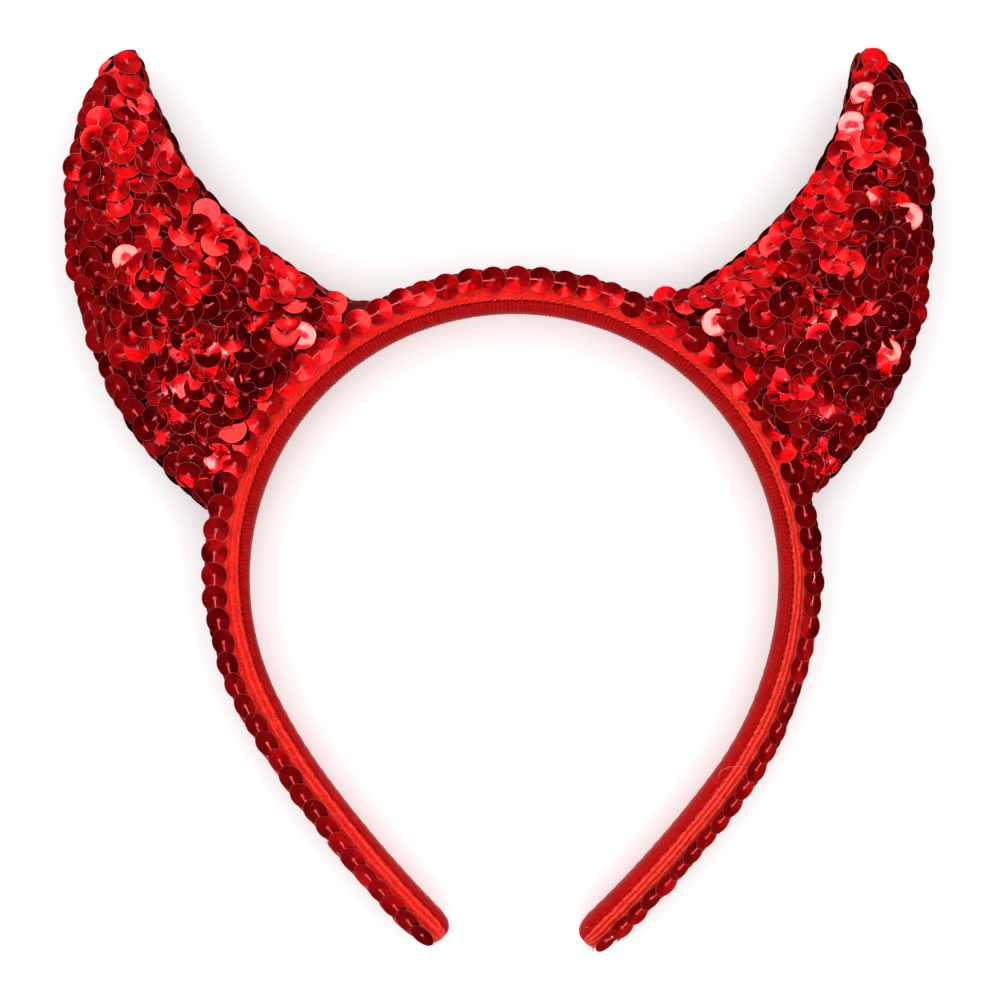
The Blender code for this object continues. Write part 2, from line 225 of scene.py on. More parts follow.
# Horns, as in the CAD source: rows from the band to the tip, in millimetres
Section = namedtuple("Section", "outer_x outer_y inner_x inner_y bow depth")
LEFT_HORN = (
    Section(-78.6, 23.9, -37.6, 63.4, 4.0, 6.2),
    Section(-84.7, 31.4, -45.6, 67.6, 2.6, 8.9),
    Section(-90.9, 42.1, -54.4, 73.9, 1.2, 10.2),
    Section(-95.3, 53.5, -62.0, 80.5, 0.6, 10.6),
    Section(-98.7, 65.8, -68.8, 87.4, 0.4, 10.3),
    Section(-100.3, 78.1, -73.8, 94.8, 0.3, 9.5),
    Section(-99.9, 89.3, -77.4, 101.4, 0.3, 8.3),
    Section(-97.9, 100.5, -79.9, 107.2, 0.3, 6.8),
    Section(-94.5, 109.9, -81.9, 112.1, 0.3, 5.0),
    Section(-91.2, 116.0, -82.8, 116.1, 0.3, 3.0),
    Section(-88.8, 118.0, -83.9, 118.4, 0.2, 1.4),
)
RIGHT_HORN = (
    Section(73.5, 25.2, 36.5, 64.0, 4.0, 6.2),
    Section(79.2, 31.7, 43.8, 68.2, 2.6, 8.9),
    Section(84.8, 40.7, 51.6, 73.8, 1.2, 10.2),
    Section(89.1, 50.6, 57.8, 79.6, 0.6, 10.6),
    Section(91.9, 61.6, 62.4, 84.9, 0.4, 10.3),
    Section(93.3, 73.6, 66.3, 90.2, 0.3, 9.6),
    Section(93.3, 85.7, 69.7, 96.4, 0.3, 8.6),
    Section(92.0, 97.3, 72.2, 101.6, 0.3, 7.2),
    Section(89.6, 106.4, 73.7, 107.2, 0.3, 5.5),
    Section(86.5, 113.5, 74.6, 113.0, 0.3, 3.9),
    Section(83.5, 117.1, 76.0, 117.0, 0.3, 2.4),
    Section(81.2, 118.6, 77.8, 118.7, 0.1, 1.2),
)
NeckArc = namedtuple("NeckArc", "out depth")
HORN_NECK = (
    NeckArc(out=BAND_OUT + 0.4 * MM, depth=2.5 * MM),
    NeckArc(out=10.8 * MM, depth=2.7 * MM),
)
LEFT_BASE_TURN = Run(start=math.radians(-77.0), end=math.radians(-27.5))
RIGHT_BASE_TURN = Run(start=math.radians(74.0), end=math.radians(25.5))
HORN_FULLNESS = 0.62
CLOTH_INSET = 0.85 * MM
CLOTH_SEAM_HALF = 0.25 * MM
CLOTH_ACROSS = 26
CLOTH_ROWS = 60

# Sequins on the horns. They are sewn in strings that run along the horn, a set distance apart.
SEAM_PITCH = 4.0 * MM
SEAM_RISE = -0.35 * MM
SEAM_RISE_SCATTER = 0.15 * MM
SEAM_ROW_HEIGHT = 1.7 * MM
SEAM_TIP_SCATTER = 0.05
SEAM_LEAN = math.radians(75.0)
SEAM_LEAN_SCATTER = math.radians(6.0)
SEAM_TIP_GAP = 3.8 * MM
SEAM_BASE_OUT = 12.6 * MM
EDGE_INSET = 3.5 * MM
TIP_INSET = 2.6 * MM
TIP_SEQUIN_ROW = CLOTH_ROWS - 3.7
TIP_SEQUINS = 2
FIELD_STRING_GAP = 3.7 * MM
FIELD_PITCH = 3.8 * MM
FIELD_SPACING = 2.75 * MM
GAP_SPACING = 2.86 * MM
FIELD_STAGGERS = (0.3, 0.8)
ROW_SCATTER = 0.12
SEAM_SIDE_STRINGS = 2
MOST_STRINGS = 6
FIELD_CANDIDATES = 5000
FIELD_BASE_OUT = 11.4 * MM
FIELD_WANDER = 0.32 * MM
ORDER_SCATTER = 1.6 * MM
ORDER_SLANT = 0.35
ORDER_STEP = 1.0 * MM
FIELD_LEAN = math.tan(math.radians(5.0))
FIELD_TILT = math.tan(math.radians(5.5))
FIELD_DRIFT = math.tan(math.radians(6.5))
MOST_LIFT = 1.5 * MM
LEAST_RISE = 0.3 * MM
CLEARANCE = 0.02 * MM
LEAST_CLIMB = 0.5
CALM_SLOPE = 12.0
CALM_SHARE = 0.55
TIP_ROWS = 6
FIELD_CUPS = (0.15, 0.8)
SEAM_CUPS = (0.3, 0.9)
HORN_WARP = 0.06 * MM
DRIFT_WAVES = 5
DRIFT_LENGTHS = (11.0 * MM, 26.0 * MM)
DRIFT_SHARE = 0.6

# Swells in the stuffing and folds beside the seams: heights in millimetres, and how far each wave turns, in
# radians, from row to row and from place to place
SWELL_HEIGHT = 0.22
SWELL_ROW_TURN = 0.55
SWELL_PLACE_TURN = 0.5
FOLD_HEIGHT = 0.16
FOLD_ROW_TURN = 2.1
FOLD_SWAY = 0.6
FOLD_SWAY_TURN = 0.9
SEAM_NARROWNESS = 6
STILL_BASE_ROWS = 5.0
STILL_TIP_ROWS = 6.0

# How each horn's field is sewn: a lean of the whole field to the right, a shift of the sequin on the tip
# towards the inner seam in cloth places, and the seed of its irregularities
Sewing = namedtuple("Sewing", "twist tip_shift seed")
LEFT_SEWING = Sewing(twist=math.radians(0.0), tip_shift=3.5, seed=7)
RIGHT_SEWING = Sewing(twist=math.radians(4.0), tip_shift=0.0, seed=19)

# How the headband lies on its back
LYING_TILT = math.radians(1.5)
PLANE_CENTRE = Vector((3.42 * MM, -18.32 * MM, 8.52 * MM))
LYING = Matrix.Translation(PLANE_CENTRE) @ Matrix.Rotation(LYING_TILT, 4, "X")

# Camera: straight in front of the headband, with the photograph's frame
CAMERA_SPOT = Vector((-3.157 * MM, 17.64 * MM, 750.0 * MM))
FRAME_WIDTH = 223.9 * MM
SENSOR_WIDTH_MM = 36.0

FLOOR_HALF = 2.5

# Studio as the gloss sees it: on each side, how bright it is from straight up (0) to straight down (180), in
# degrees from straight up. Bearing is in degrees from +X towards +Y.
Step = namedtuple("Step", "slant level")
StudioSide = namedtuple("StudioSide", "name bearing steps")
STUDIO_SIDES = (
    StudioSide("top", 90, (
        Step(0, 0.11), Step(14, 0.15), Step(20, 0.32), Step(30, 0.34), Step(36, 0.6), Step(50, 1.3),
        Step(62, 1.3), Step(70, 0.6), Step(100, 0.5), Step(180, 0.6),
    )),
    StudioSide("left", 180, (
        Step(0, 0.12), Step(16, 0.14), Step(21, 0.62), Step(42, 0.85), Step(46, 0.28), Step(62, 0.32),
        Step(78, 0.5), Step(100, 0.5), Step(180, 0.6),
    )),
    StudioSide("right", 0, (
        Step(0, 0.10), Step(24, 0.10), Step(27, 0.34), Step(33, 0.34), Step(36, 0.10), Step(58, 0.13),
        Step(76, 0.4), Step(84, 0.95), Step(94, 0.9), Step(101, 0.35), Step(180, 0.5),
    )),
    StudioSide("bottom", 270, (
        Step(0, 0.11), Step(18, 0.12), Step(24, 0.5), Step(36, 0.55), Step(40, 0.2), Step(56, 0.2),
        Step(75, 0.5), Step(84, 0.95), Step(94, 0.9), Step(101, 0.35), Step(180, 0.5),
    )),
)
MOST_STEP = 4.0
CLUTTER_SCALE = 4.6
CLUTTER_LEAST = 0.3
CLUTTER_MOST = 1.7
StudioLamp = namedtuple("StudioLamp", "name bearing slant half_width edge level")
STUDIO_LAMPS = (
    StudioLamp("softbox_left", 118, 47, 5, 1.5, 20.0),
    StudioLamp("softbox_right", 60, 50, 5, 1.5, 20.0),
    StudioLamp("strip_above_the_crown", 92, 37, 2.5, 1.5, 14.0),
    StudioLamp("strip_right", 41, 29, 4, 1.5, 15.0),
    StudioLamp("strip_left", 153, 30, 4, 1.5, 15.0),
    StudioLamp("small_lamp", 272, 23, 3.2, 1.2, 140.0),
)
LAMP_WARMTH = (1.0, 0.88, 0.62)
STUDIO_PALE = 1.24


def lamp_direction(lamp):
    """Direction to a studio lamp."""
    bearing, slant = math.radians(lamp.bearing), math.radians(lamp.slant)
    flat = math.sin(slant)
    return np.array((flat * math.cos(bearing), flat * math.sin(bearing), math.cos(slant)))


LAMP_DIRECTIONS = {lamp.name: lamp_direction(lamp) for lamp in STUDIO_LAMPS}


def unit(vectors):
    """The same directions with a length of 1."""
    return vectors / np.maximum(np.linalg.norm(vectors, axis=-1, keepdims=True), 1e-12)


def lengths_along(points):
    """Distance along a line of points at each of them."""
    return np.concatenate(([0.0], np.cumsum(np.linalg.norm(np.diff(points, axis=0), axis=1))))


def facing_away(normals, points, middles):
    """The same directions, turned round together if they point towards the middle."""
    return normals if np.sum(normals * (points - middles)) >= 0 else -normals


def read_table(table, place, column=1):
    """A column's value at a place, between the rows of a table whose first column gives the rows' places."""
    columns = np.array(table)
    return np.interp(place, columns[:, 0], columns[:, column])


def add_object(name, data):
    """An object in the scene."""
    item = bpy.data.objects.new(name, data)
    bpy.context.scene.collection.objects.link(item)
    return item


def band_frame(along):
    """Point on the band's inner edge and the direction away from the head, from the crown's top along it."""
    side = 1.0 if along >= 0 else -1.0
    arcs = RIGHT_ARCS if along >= 0 else LEFT_ARCS
    left_to_go = abs(along)
    turn = 0.0
    centre = Vector((0.0, 0.0))
    for arc, following in zip(arcs, arcs[1:] + (None,)):
        if following is None or left_to_go <= arc.length:
            turn += left_to_go / arc.radius
            outward = Vector((math.sin(turn), math.cos(turn)))
            point = centre + outward * arc.radius
            break
        turn += arc.length / arc.radius
        left_to_go -= arc.length
        outward = Vector((math.sin(turn), math.cos(turn)))
        centre += outward * (arc.radius - following.radius)
    return Vector((side * point.x, point.y)), Vector((side * outward.x, outward.y))


def band_point(along, out, front):
    """A place beside the band: its distance along, its distance out from the inner edge, and its height."""
    edge, outward = band_frame(along)
    flat = edge + outward * out
    return Vector((flat.x, flat.y, front))


def tip_fullness(along):
    """How full the band's section is, from 1 along its length down to almost nothing at the rounded tips."""
    to_end = min(along - LEFT_LEG_END, RIGHT_LEG_END - along)
    share = min(1.0, max(0.004, to_end / TIP_LENGTH))
    return (1.0 - (1.0 - share) ** 2) ** TIP_BLUNTNESS


def rest_height(y):
    """Height in the headband's plane of the table that it lies on."""
    return -(PLANE_CENTRE.z + y * math.sin(LYING_TILT)) / math.cos(LYING_TILT)


def new_piece(name, mesh, materials, nodes=()):
    """Lay a shaped mesh down with the headband and tie it to the CAD model."""
    mesh.transform(LYING)
    for material in materials:
        mesh.materials.append(material)
    item = add_object(name, mesh)
    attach(item, "root")
    if nodes:
        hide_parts(*nodes)
    return item


def mesh_of(name, points, faces, smooth_angle):
    """A smooth mesh with creases where faces meet at more than an angle."""
    mesh = bpy.data.meshes.new(name)
    mesh.from_pydata([tuple(point) for point in points], [], faces)
    mesh.validate()
    mesh.shade_smooth()
    mesh.set_sharp_from_angle(angle=math.radians(smooth_angle))
    return mesh


def loft_faces(rings, around):
    """Quads of a tube through rings of points, with a fan over each end."""
    faces = []
    for ring in range(rings - 1):
        for index in range(around):
            after = (index + 1) % around
            low = ring * around
            high = low + around
            faces.append((low + index, low + after, high + after, high + index))
    last = (rings - 1) * around
    faces.append(tuple(reversed(range(around))))
    faces.append(tuple(range(last, last + around)))
    return faces


def set_numbers(mesh, name, values):
    """Store one number for each vertex, for the material to read."""
    attribute = mesh.attributes.new(name, "FLOAT", "POINT")
    attribute.data.foreach_set("value", np.asarray(values, dtype=np.float32))


# Materials and studio: shader nodes

def feed(tree, node, inputs):
    """Link a node's inputs to sockets, or set them to values."""
    for name, value in inputs.items():
        if isinstance(value, bpy.types.NodeSocket):
            tree.links.new(value, node.inputs[name])
        else:
            node.inputs[name].default_value = value


def add_node(tree, kind, inputs=None, **settings):
    """A node with its settings and inputs."""
    node = tree.nodes.new(kind)
    for name, value in settings.items():
        setattr(node, name, value)
    feed(tree, node, inputs or {})
    return node


def maths(tree, operation, *values):
    """A sum, product or the like of sockets and numbers."""
    return add_node(tree, "ShaderNodeMath", dict(enumerate(values)), operation=operation).outputs["Value"]


def vector_maths(tree, operation, *values):
    """The same for vectors. A dot product gives a number."""
    node = add_node(tree, "ShaderNodeVectorMath", dict(enumerate(values)), operation=operation)
    return node.outputs["Value" if operation == "DOT_PRODUCT" else "Vector"]


def rescale(tree, value, source=(0.0, 1.0), target=(0.0, 1.0), **settings):
    """A value moved from one range to another and held inside it."""
    (from_min, from_max), (to_min, to_max) = source, target
    inputs = {"Value": value, "From Min": from_min, "From Max": from_max, "To Min": to_min, "To Max": to_max}
    return add_node(tree, "ShaderNodeMapRange", inputs, **settings).outputs["Result"]


def mix_shades(tree, factor, first, second, blend_type="MIX"):
    """A mix of two colours."""
    inputs = {"Factor": factor, "A": first, "B": second}
    return add_node(tree, "ShaderNodeMix", inputs, data_type="RGBA", blend_type=blend_type).outputs["Result"]


def ripples(tree, place, scale, direction, distortion, detail_scale):
    """Soft bands across one direction of a map."""
    inputs = {"Vector": place, "Scale": scale, "Distortion": distortion, "Detail Scale": detail_scale}
    return add_node(tree, "ShaderNodeTexWave", inputs, bands_direction=direction).outputs["Fac"]


def coordinates(tree, kind):
    """A shader's own place: on the object, or in its map in millimetres."""
    return add_node(tree, "ShaderNodeTexCoord").outputs[kind]


def stored(tree, name):
    """The numbers that a mesh keeps for its material."""
    return add_node(tree, "ShaderNodeAttribute", attribute_name=name).outputs["Fac"]


def new_material(name, values):
    """A material with its Principled shader and the shader's plain values."""
    material = bpy.data.materials.new(name)
    material.use_nodes = True
    shader = material.node_tree.nodes["Principled BSDF"]
    feed(material.node_tree, shader, values)
    return material, material.node_tree, shader


def new_group(name, inputs, outputs):
    """A shader node group with named sockets, what it is given, and its last node."""
    group = bpy.data.node_groups.new(name, "ShaderNodeTree")
    for way, sockets in (("INPUT", inputs), ("OUTPUT", outputs)):
        for label, kind in sockets.items():
            group.interface.new_socket(label, in_out=way, socket_type="NodeSocket" + kind)
    return group, group.nodes.new("NodeGroupInput").outputs, group.nodes.new("NodeGroupOutput")


def make_uneven_dye():
    """Group: slow and fine changes of shade, as dye takes unevenly, between two colours."""
    group, given, result = new_group(
        "uneven_dye",
        {"Place": "Vector", "Light shade": "Color", "Deep shade": "Color", "Patches per metre": "Float"},
        {"Shade": "Color", "Unevenness": "Float"},
    )
    patches = {"Vector": given["Place"], "Scale": given["Patches per metre"]}
    noise = add_node(group, "ShaderNodeTexNoise", {**patches, "Detail": 6.0, "Roughness": 0.6})
    unevenness = rescale(group, noise.outputs["Fac"], source=(0.34, 0.66))
    shade = mix_shades(group, unevenness, given["Deep shade"], given["Light shade"])
    feed(group, result, {"Shade": shade, "Unevenness": unevenness})
    return group


def make_fine_threads():
    """Group: the height of fine threads that cross a strip, in a map whose x runs along and y across it."""
    group, given, result = new_group(
        "fine_threads",
        {"Place": "Vector", "Threads along": "Float", "Threads across": "Float"},
        {"Height": "Float", "Thread shade": "Float"},
    )
    wavy = {"distortion": 0.6, "detail_scale": 0.5}
    along = ripples(group, given["Place"], given["Threads along"], "X", **wavy)
    across = ripples(group, given["Place"], given["Threads across"], "Y", **wavy)
    feed(group, result, {"Height": maths(group, "MULTIPLY_ADD", along, 0.6, across), "Thread shade": along})
    return group


def add_dye(tree, dye, light, deep, patches):
    """Uneven dye from a light to a deep colour: its shade and its unevenness."""
    inputs = {"Light shade": light, "Deep shade": deep, "Patches per metre": patches}
    node = add_node(tree, "ShaderNodeGroup", {"Place": coordinates(tree, "Object"), **inputs}, node_tree=dye)
    return node.outputs["Shade"], node.outputs["Unevenness"]


def add_threads(tree, threads, along, across):
    """Fine threads in the map: their height and their shade."""
    inputs = {"Place": coordinates(tree, "UV"), "Threads along": along, "Threads across": across}
    node = add_node(tree, "ShaderNodeGroup", inputs, node_tree=threads)
    return node.outputs["Height"], node.outputs["Thread shade"]


def add_bump(tree, height, shader, depth, strength):
    """Raise the surface by a height map."""
    bump = add_node(tree, "ShaderNodeBump", {"Distance": depth, "Strength": strength, "Height": height})
    feed(tree, shader, {"Normal": bump.outputs["Normal"]})


def make_sequin_foil(dye):
    """Red metallic foil under clear plastic. Each sequin has its own tone."""
    material, tree, shader = new_material("sequin_foil", {
        "Metallic": 1.0,
        "Coat Weight": 0.08,
        "Coat Roughness": 0.04,
        "Specular Tint": (1.0, 0.05, 0.06, 1.0),
    })
    shades = add_node(tree, "ShaderNodeValToRGB", {"Fac": stored(tree, "tone")})
    shades.color_ramp.elements[0].color = FOIL_DEEP
    shades.color_ramp.elements[1].color = FOIL_LIGHT
    mottle, unevenness = add_dye(tree, dye, *FOIL_MOTTLE)
    feed(tree, shader, {
        "Base Color": mix_shades(tree, 1.0, shades.outputs["Color"], mottle, "MULTIPLY"),
        "Roughness": rescale(tree, unevenness, target=FOIL_ROUGHNESS),
    })
    add_bump(tree, unevenness, shader, FOIL_BUMP, FOIL_BUMP_STRENGTH)
    return material


def make_dyed(finish, dye, threads):
    """A plain finish in one uneven dye: cut plastic, sewing thread, cloth or the table top."""
    material, tree, shader = new_material(finish.name, finish.values)
    shade, height = add_dye(tree, dye, finish.light, finish.deep, finish.patches)
    feed(tree, shader, {"Base Color": shade})
    if finish.woven:
        height = add_threads(tree, threads, finish.woven, finish.woven)[0]
    if finish.depth:
        add_bump(tree, height, shader, finish.depth, finish.strength)
    return material


def make_ribbon(finish, dye, threads):
    """Satin or ribbed ribbon: fine threads across it, painted sheen rows and shade along it, a coloured
    sheen.
    """
    material, tree, shader = new_material(finish.name, {
        "Roughness": finish.roughness,
        "Metallic": finish.metallic,
        "Specular Tint": (1.0, 0.10, 0.06, 1.0),
        "Specular IOR Level": 0.25,
        "Sheen Weight": 0.08,
        "Sheen Roughness": 0.35,
        "Sheen Tint": (1.0, 0.06, 0.04, 1.0),
    })
    shade = add_dye(tree, dye, finish.light, finish.deep, RIBBON_PATCHES)[0]
    thread_height, thread_shade = add_threads(tree, threads, THREADS_ALONG, THREADS_ACROSS)
    strip = coordinates(tree, "UV")
    # How much of the painted sheen rows, and of the painted shade between them, shows along the band
    sheen_share = stored(tree, "sheen_share")
    row_scale = 2.0 * math.pi / (WAVE_BANDS * finish.stitch_rows)
    lines = rescale(tree, ripples(tree, strip, row_scale, "Y", **ROW_WOBBLE), source=ROW_EDGES)
    # The bricks' mortar breaks each painted sheen row at every turn of the ribbon
    stitches = add_node(tree, "ShaderNodeTexBrick", {
        "Vector": strip,
        "Scale": 1.0,
        "Brick Width": finish.stitch_length,
        "Row Height": finish.stitch_rows,
        **DASH_BREAK_GAP,
    }, offset=DASH_STAGGER)
    gaps = rescale(tree, stitches.outputs["Fac"], target=(1.0, 0.0))
    # Painted sheen: bright dashes along the rows, on the ridges of each turn
    sheen_dashes = maths(tree, "MULTIPLY", maths(tree, "MULTIPLY", lines, gaps), sheen_share)
    # Painted glints: small bright specks over the threads
    grain = add_node(tree, "ShaderNodeTexNoise", {"Vector": strip, "Scale": finish.grain, "Detail": 1.0})
    glints = rescale(tree, grain.outputs["Fac"], source=GLINT_EDGES, target=GLINT_LEVELS)
    bright = maths(tree, "MAXIMUM", sheen_dashes, glints)
    # Painted shade: darker in the relief's hollows, between the threads and between the sheen rows
    valleys = rescale(tree, stored(tree, "relief"), source=(1.0, 0.0))
    between = rescale(tree, thread_shade, target=THREAD_HOLLOW)
    ground = rescale(tree, lines, target=(finish.ground_shade, 0.0))
    furrows = maths(tree, "MULTIPLY", ground, sheen_share)
    deepest = maths(tree, "MAXIMUM", maths(tree, "MAXIMUM", valleys, between), furrows)
    hollowed = mix_shades(tree, deepest, shade, finish.hollow_shade, "MULTIPLY")
    # The painted sheen and glints, broken into rungs by the threads, in the sheen colour
    rungs = rescale(tree, thread_shade, target=THREAD_RUNGS)
    lit = rescale(tree, maths(tree, "MULTIPLY", bright, rungs), target=(0.0, finish.stitch_strength))
    feed(tree, shader, {"Base Color": mix_shades(tree, lit, hollowed, finish.stitch_shade)})
    height = maths(tree, "MULTIPLY_ADD", bright, SHEEN_RAISE, thread_height)
    add_bump(tree, height, shader, RIBBON_BUMP, RIBBON_BUMP_STRENGTH)
    return material


# A wave texture turns through this many radians for each unit of its map
WAVE_BANDS = 20.0

FOIL_DEEP = (0.38, 0.0004, 0.0014, 1.0)
FOIL_LIGHT = (0.72, 0.0028, 0.0062, 1.0)
FOIL_MOTTLE = ((1.0, 1.0, 1.0, 1.0), (0.74, 0.74, 0.74, 1.0), 900.0)
FOIL_ROUGHNESS = (0.12, 0.19)
FOIL_BUMP = 0.02 * MM
FOIL_BUMP_STRENGTH = 0.35

# Both ribbons: how threads, painted sheen, glints and shade are drawn, by the shares of their waves that
# show
RIBBON_PATCHES = 420.0
THREADS_ALONG = 0.62
THREADS_ACROSS = 0.9
# Painted shade between the threads, and the threads breaking the painted sheen into rungs
THREAD_HOLLOW = (0.32, 0.0)
THREAD_RUNGS = (0.35, 1.0)
ROW_WOBBLE = {"distortion": 2.0, "detail_scale": 0.7}
ROW_EDGES = (0.42, 0.85)
DASH_BREAK_GAP = {"Mortar Size": 0.14, "Mortar Smooth": 0.6}
DASH_STAGGER = 0.42
# Painted glints
GLINT_EDGES = (0.58, 0.74)
GLINT_LEVELS = (0.0, 0.75)
# The painted sheen and glints also raise the bump
SHEEN_RAISE = 0.6
RIBBON_BUMP = 0.09 * MM
RIBBON_BUMP_STRENGTH = 0.8

# Plain finishes. The bump's height is the fine weave where there is one, and otherwise the dye's unevenness.
DyedFinish = namedtuple("DyedFinish", "name light deep patches values woven depth strength")
THREAD_GLOSS = {"Roughness": 0.28, "Coat Weight": 0.6, "Coat Roughness": 0.08}
CUT_PLASTIC = DyedFinish(
    name="sequin_cut_edge",
    light=(0.42, 0.014, 0.022, 1.0),
    deep=(0.2, 0.003, 0.007, 1.0),
    patches=260.0,
    values={"Roughness": 0.35},
    woven=None, depth=None, strength=None,
)
SEWING_THREAD = DyedFinish(
    name="sewing_thread",
    light=(0.95, 0.085, 0.105, 1.0),
    deep=(0.76, 0.018, 0.034, 1.0),
    patches=1500.0,
    values=THREAD_GLOSS,
    woven=None, depth=0.04 * MM, strength=0.5,
)
EDGE_THREAD = SEWING_THREAD._replace(
    name="edge_thread",
    light=(0.86, 0.016, 0.012, 1.0),
    deep=(0.55, 0.004, 0.005, 1.0),
)
# Kept dark: the cloth's own deep red, and painted shade for the shadow between the sequins over it
HORN_CLOTH = DyedFinish(
    name="horn_cloth",
    light=(0.26, 0.004, 0.007, 1.0),
    deep=(0.13, 0.002, 0.004, 1.0),
    patches=300.0,
    values={"Roughness": 0.75, "Specular IOR Level": 0.15},
    woven=0.8, depth=0.08 * MM, strength=0.7,
)
PALE_FLOOR = DyedFinish(
    name="pale_floor",
    light=(0.96, 0.96, 0.96, 1.0),
    deep=(0.95, 0.95, 0.95, 1.0),
    patches=4.0,
    values={
        "Roughness": 0.9,
        "Specular IOR Level": 0.1,
        "Emission Color": (1.0, 1.0, 1.0, 1.0),
        "Emission Strength": 0.14,
    },
    woven=None, depth=None, strength=None,
)
# A ribbon's uneven dye, its painted shade colour for hollows and between sheen rows, and its painted sheen
# colour
RibbonFinish = namedtuple(
    "RibbonFinish",
    "name light deep hollow_shade stitch_shade stitch_strength stitch_length stitch_rows ground_shade grain"
    " roughness metallic",
)
SATIN = RibbonFinish(
    name="satin",
    light=(1.0, 0.014, 0.011, 1.0),
    deep=(0.86, 0.007, 0.006, 1.0),
    hollow_shade=(0.48, 0.34, 0.42, 1.0),
    stitch_shade=(1.0, 0.15, 0.09, 1.0),
    stitch_strength=1.0,
    stitch_length=3.0,
    stitch_rows=0.95,
    ground_shade=0.5,
    grain=2.6,
    roughness=0.38,
    metallic=0.1,
)
RIBBED_RIBBON = RibbonFinish(
    name="ribbed_ribbon",
    light=(0.58, 0.003, 0.005, 1.0),
    deep=(0.44, 0.0015, 0.003, 1.0),
    hollow_shade=(0.40, 0.34, 0.40, 1.0),
    stitch_shade=(0.95, 0.05, 0.03, 1.0),
    stitch_strength=0.22,
    stitch_length=1.8,
    stitch_rows=0.9,
    ground_shade=0.1,
    grain=1.6,
    roughness=0.42,
    metallic=0.15,
)


# Band

def map_along(mesh, alongs, arounds):
    """A map in millimetres whose x runs along the band and y round its section."""
    layer = mesh.uv_layers.new(name="UVMap")
    corners = np.empty(len(mesh.loops), dtype=np.int32)
    mesh.loops.foreach_get("vertex_index", corners)
    flat = np.empty((len(corners), 2), dtype=np.float32)
    flat[:, 0] = np.asarray(alongs)[corners] / MM
    flat[:, 1] = np.asarray(arounds)[corners] / MM
    layer.data.foreach_set("uv", flat.ravel())


def section_normals(section):
    """Directions away from a closed section at each of its points."""
    tangent = np.roll(section, -1, axis=0) - np.roll(section, 1, axis=0)
    normal = unit(np.stack((tangent[:, 1], -tangent[:, 0]), axis=1))
    return facing_away(normal, section, section.mean(axis=0))


def rim_height(out):
    """Height of the band's surface above its middle, at a distance out from the inner edge."""
    return read_table(BAND_SECTION, out)


def shift_lining_edge(along, out, front):
    """Slide places near the lining's edge over the band's surface, because the lining narrows down a leg."""
    shift = read_table(LINING_SHIFTS, along / MM) * MM
    grows = np.clip(out / SHIFT_GROWS_TO, 0.0, 1.0)
    fades = np.clip((SHIFT_ENDS - out) / (SHIFT_ENDS - SHIFT_FADES_FROM), 0.0, 1.0)
    moved = out + shift * grows * fades
    height = np.abs(front) + rim_height(moved) - rim_height(out)
    return moved, np.where(np.abs(front) > SHIFT_LEAST_FRONT, np.sign(front) * height, front)


def loft_along_band(name, section, stations, relief, smooth_angle):
    """Sweep a closed section along the band, raised by a relief that depends on the place, and keep its
    painted shade.
    """
    normals = section_normals(section)
    girth = lengths_along(section)
    points, relief_shades = [], []
    for along in stations:
        edge, outward = band_frame(along)
        fullness = tip_fullness(along)
        height, share = relief(along, section, girth)
        flat = section + normals * height[:, None]
        out, front = shift_lining_edge(along, flat[:, 0], flat[:, 1])
        out = BAND_CORE_OUT + (out - BAND_CORE_OUT) * fullness
        front = front * fullness
        points.append(np.stack((edge.x + outward.x * out, edge.y + outward.y * out, front), axis=1))
        relief_shades.append(share)
    alongs = np.repeat(stations, len(section))
    mesh = mesh_of(name, np.concatenate(points), loft_faces(len(stations), len(section)), smooth_angle)
    map_along(mesh, alongs, np.tile(girth, len(stations)))
    # The relief's painted shade and the share of painted sheen rows, for the material to read
    set_numbers(mesh, "relief", np.concatenate(relief_shades))
    set_numbers(mesh, "sheen_share", read_table(SHEEN_SHARES, alongs / MM))
    return mesh


def even_steps(start, end, step):
    """Distances from start to end, a step apart as nearly as they allow."""
    return np.linspace(start, end, round((end - start) / step) + 1)


def string_stations_along(start, end):
    """Distances along the band at which the sequins of a string are sewn on, from start towards end."""
    stations = [start]
    while stations[-1] < end:
        stations.append(stations[-1] + read_table(STRING_PITCHES, abs(stations[-1]) / MM) * MM)
    stations = np.array(stations)
    return start + (stations - start) * (end - start) / (stations[-1] - start)


def wrap_share(along, girth):
    """Height of the ribbon's overlapping turns down the legs, from 0 to 1."""
    legs = np.clip((abs(along) - WRAP_START) / WRAP_GROWS_OVER, 0.0, 1.0)
    phase = (along + WRAP_SLANT * np.sign(along) * girth) / WRAP_PITCH
    saw = phase - np.floor(phase)
    return legs * np.where(saw < WRAP_EDGE, saw / WRAP_EDGE, (1.0 - saw) / (1.0 - WRAP_EDGE))


def satin_relief(along, section, girth):
    """Small waves and overlapping turns in the satin, and painted shade in their hollows and its groove."""
    wraps = wrap_share(along, girth)
    sway = CREASE_SWAY * np.sin(girth / CREASE_SWAY_ROUND + along / CREASE_SWAY_ALONG)
    crease = 0.5 + 0.5 * np.sin(along / CREASE_LENGTH + sway)
    groove = np.exp(-(((section[:, 0] - GROOVE_OUT) / GROOVE_HALF) ** 2))
    depth = 0.9 - 0.5 * np.clip((abs(along) - WRAP_START) / GROOVE_FADE, 0.0, 1.0)
    # Painted shade: the share falls in the creases' hollows, between the turns and most in the groove
    share = np.clip(0.6 + 0.3 * crease + 0.35 * wraps - depth * groove, 0.0, 1.0)
    return CREASE_HEIGHT * crease + WRAP_HEIGHT * wraps, share


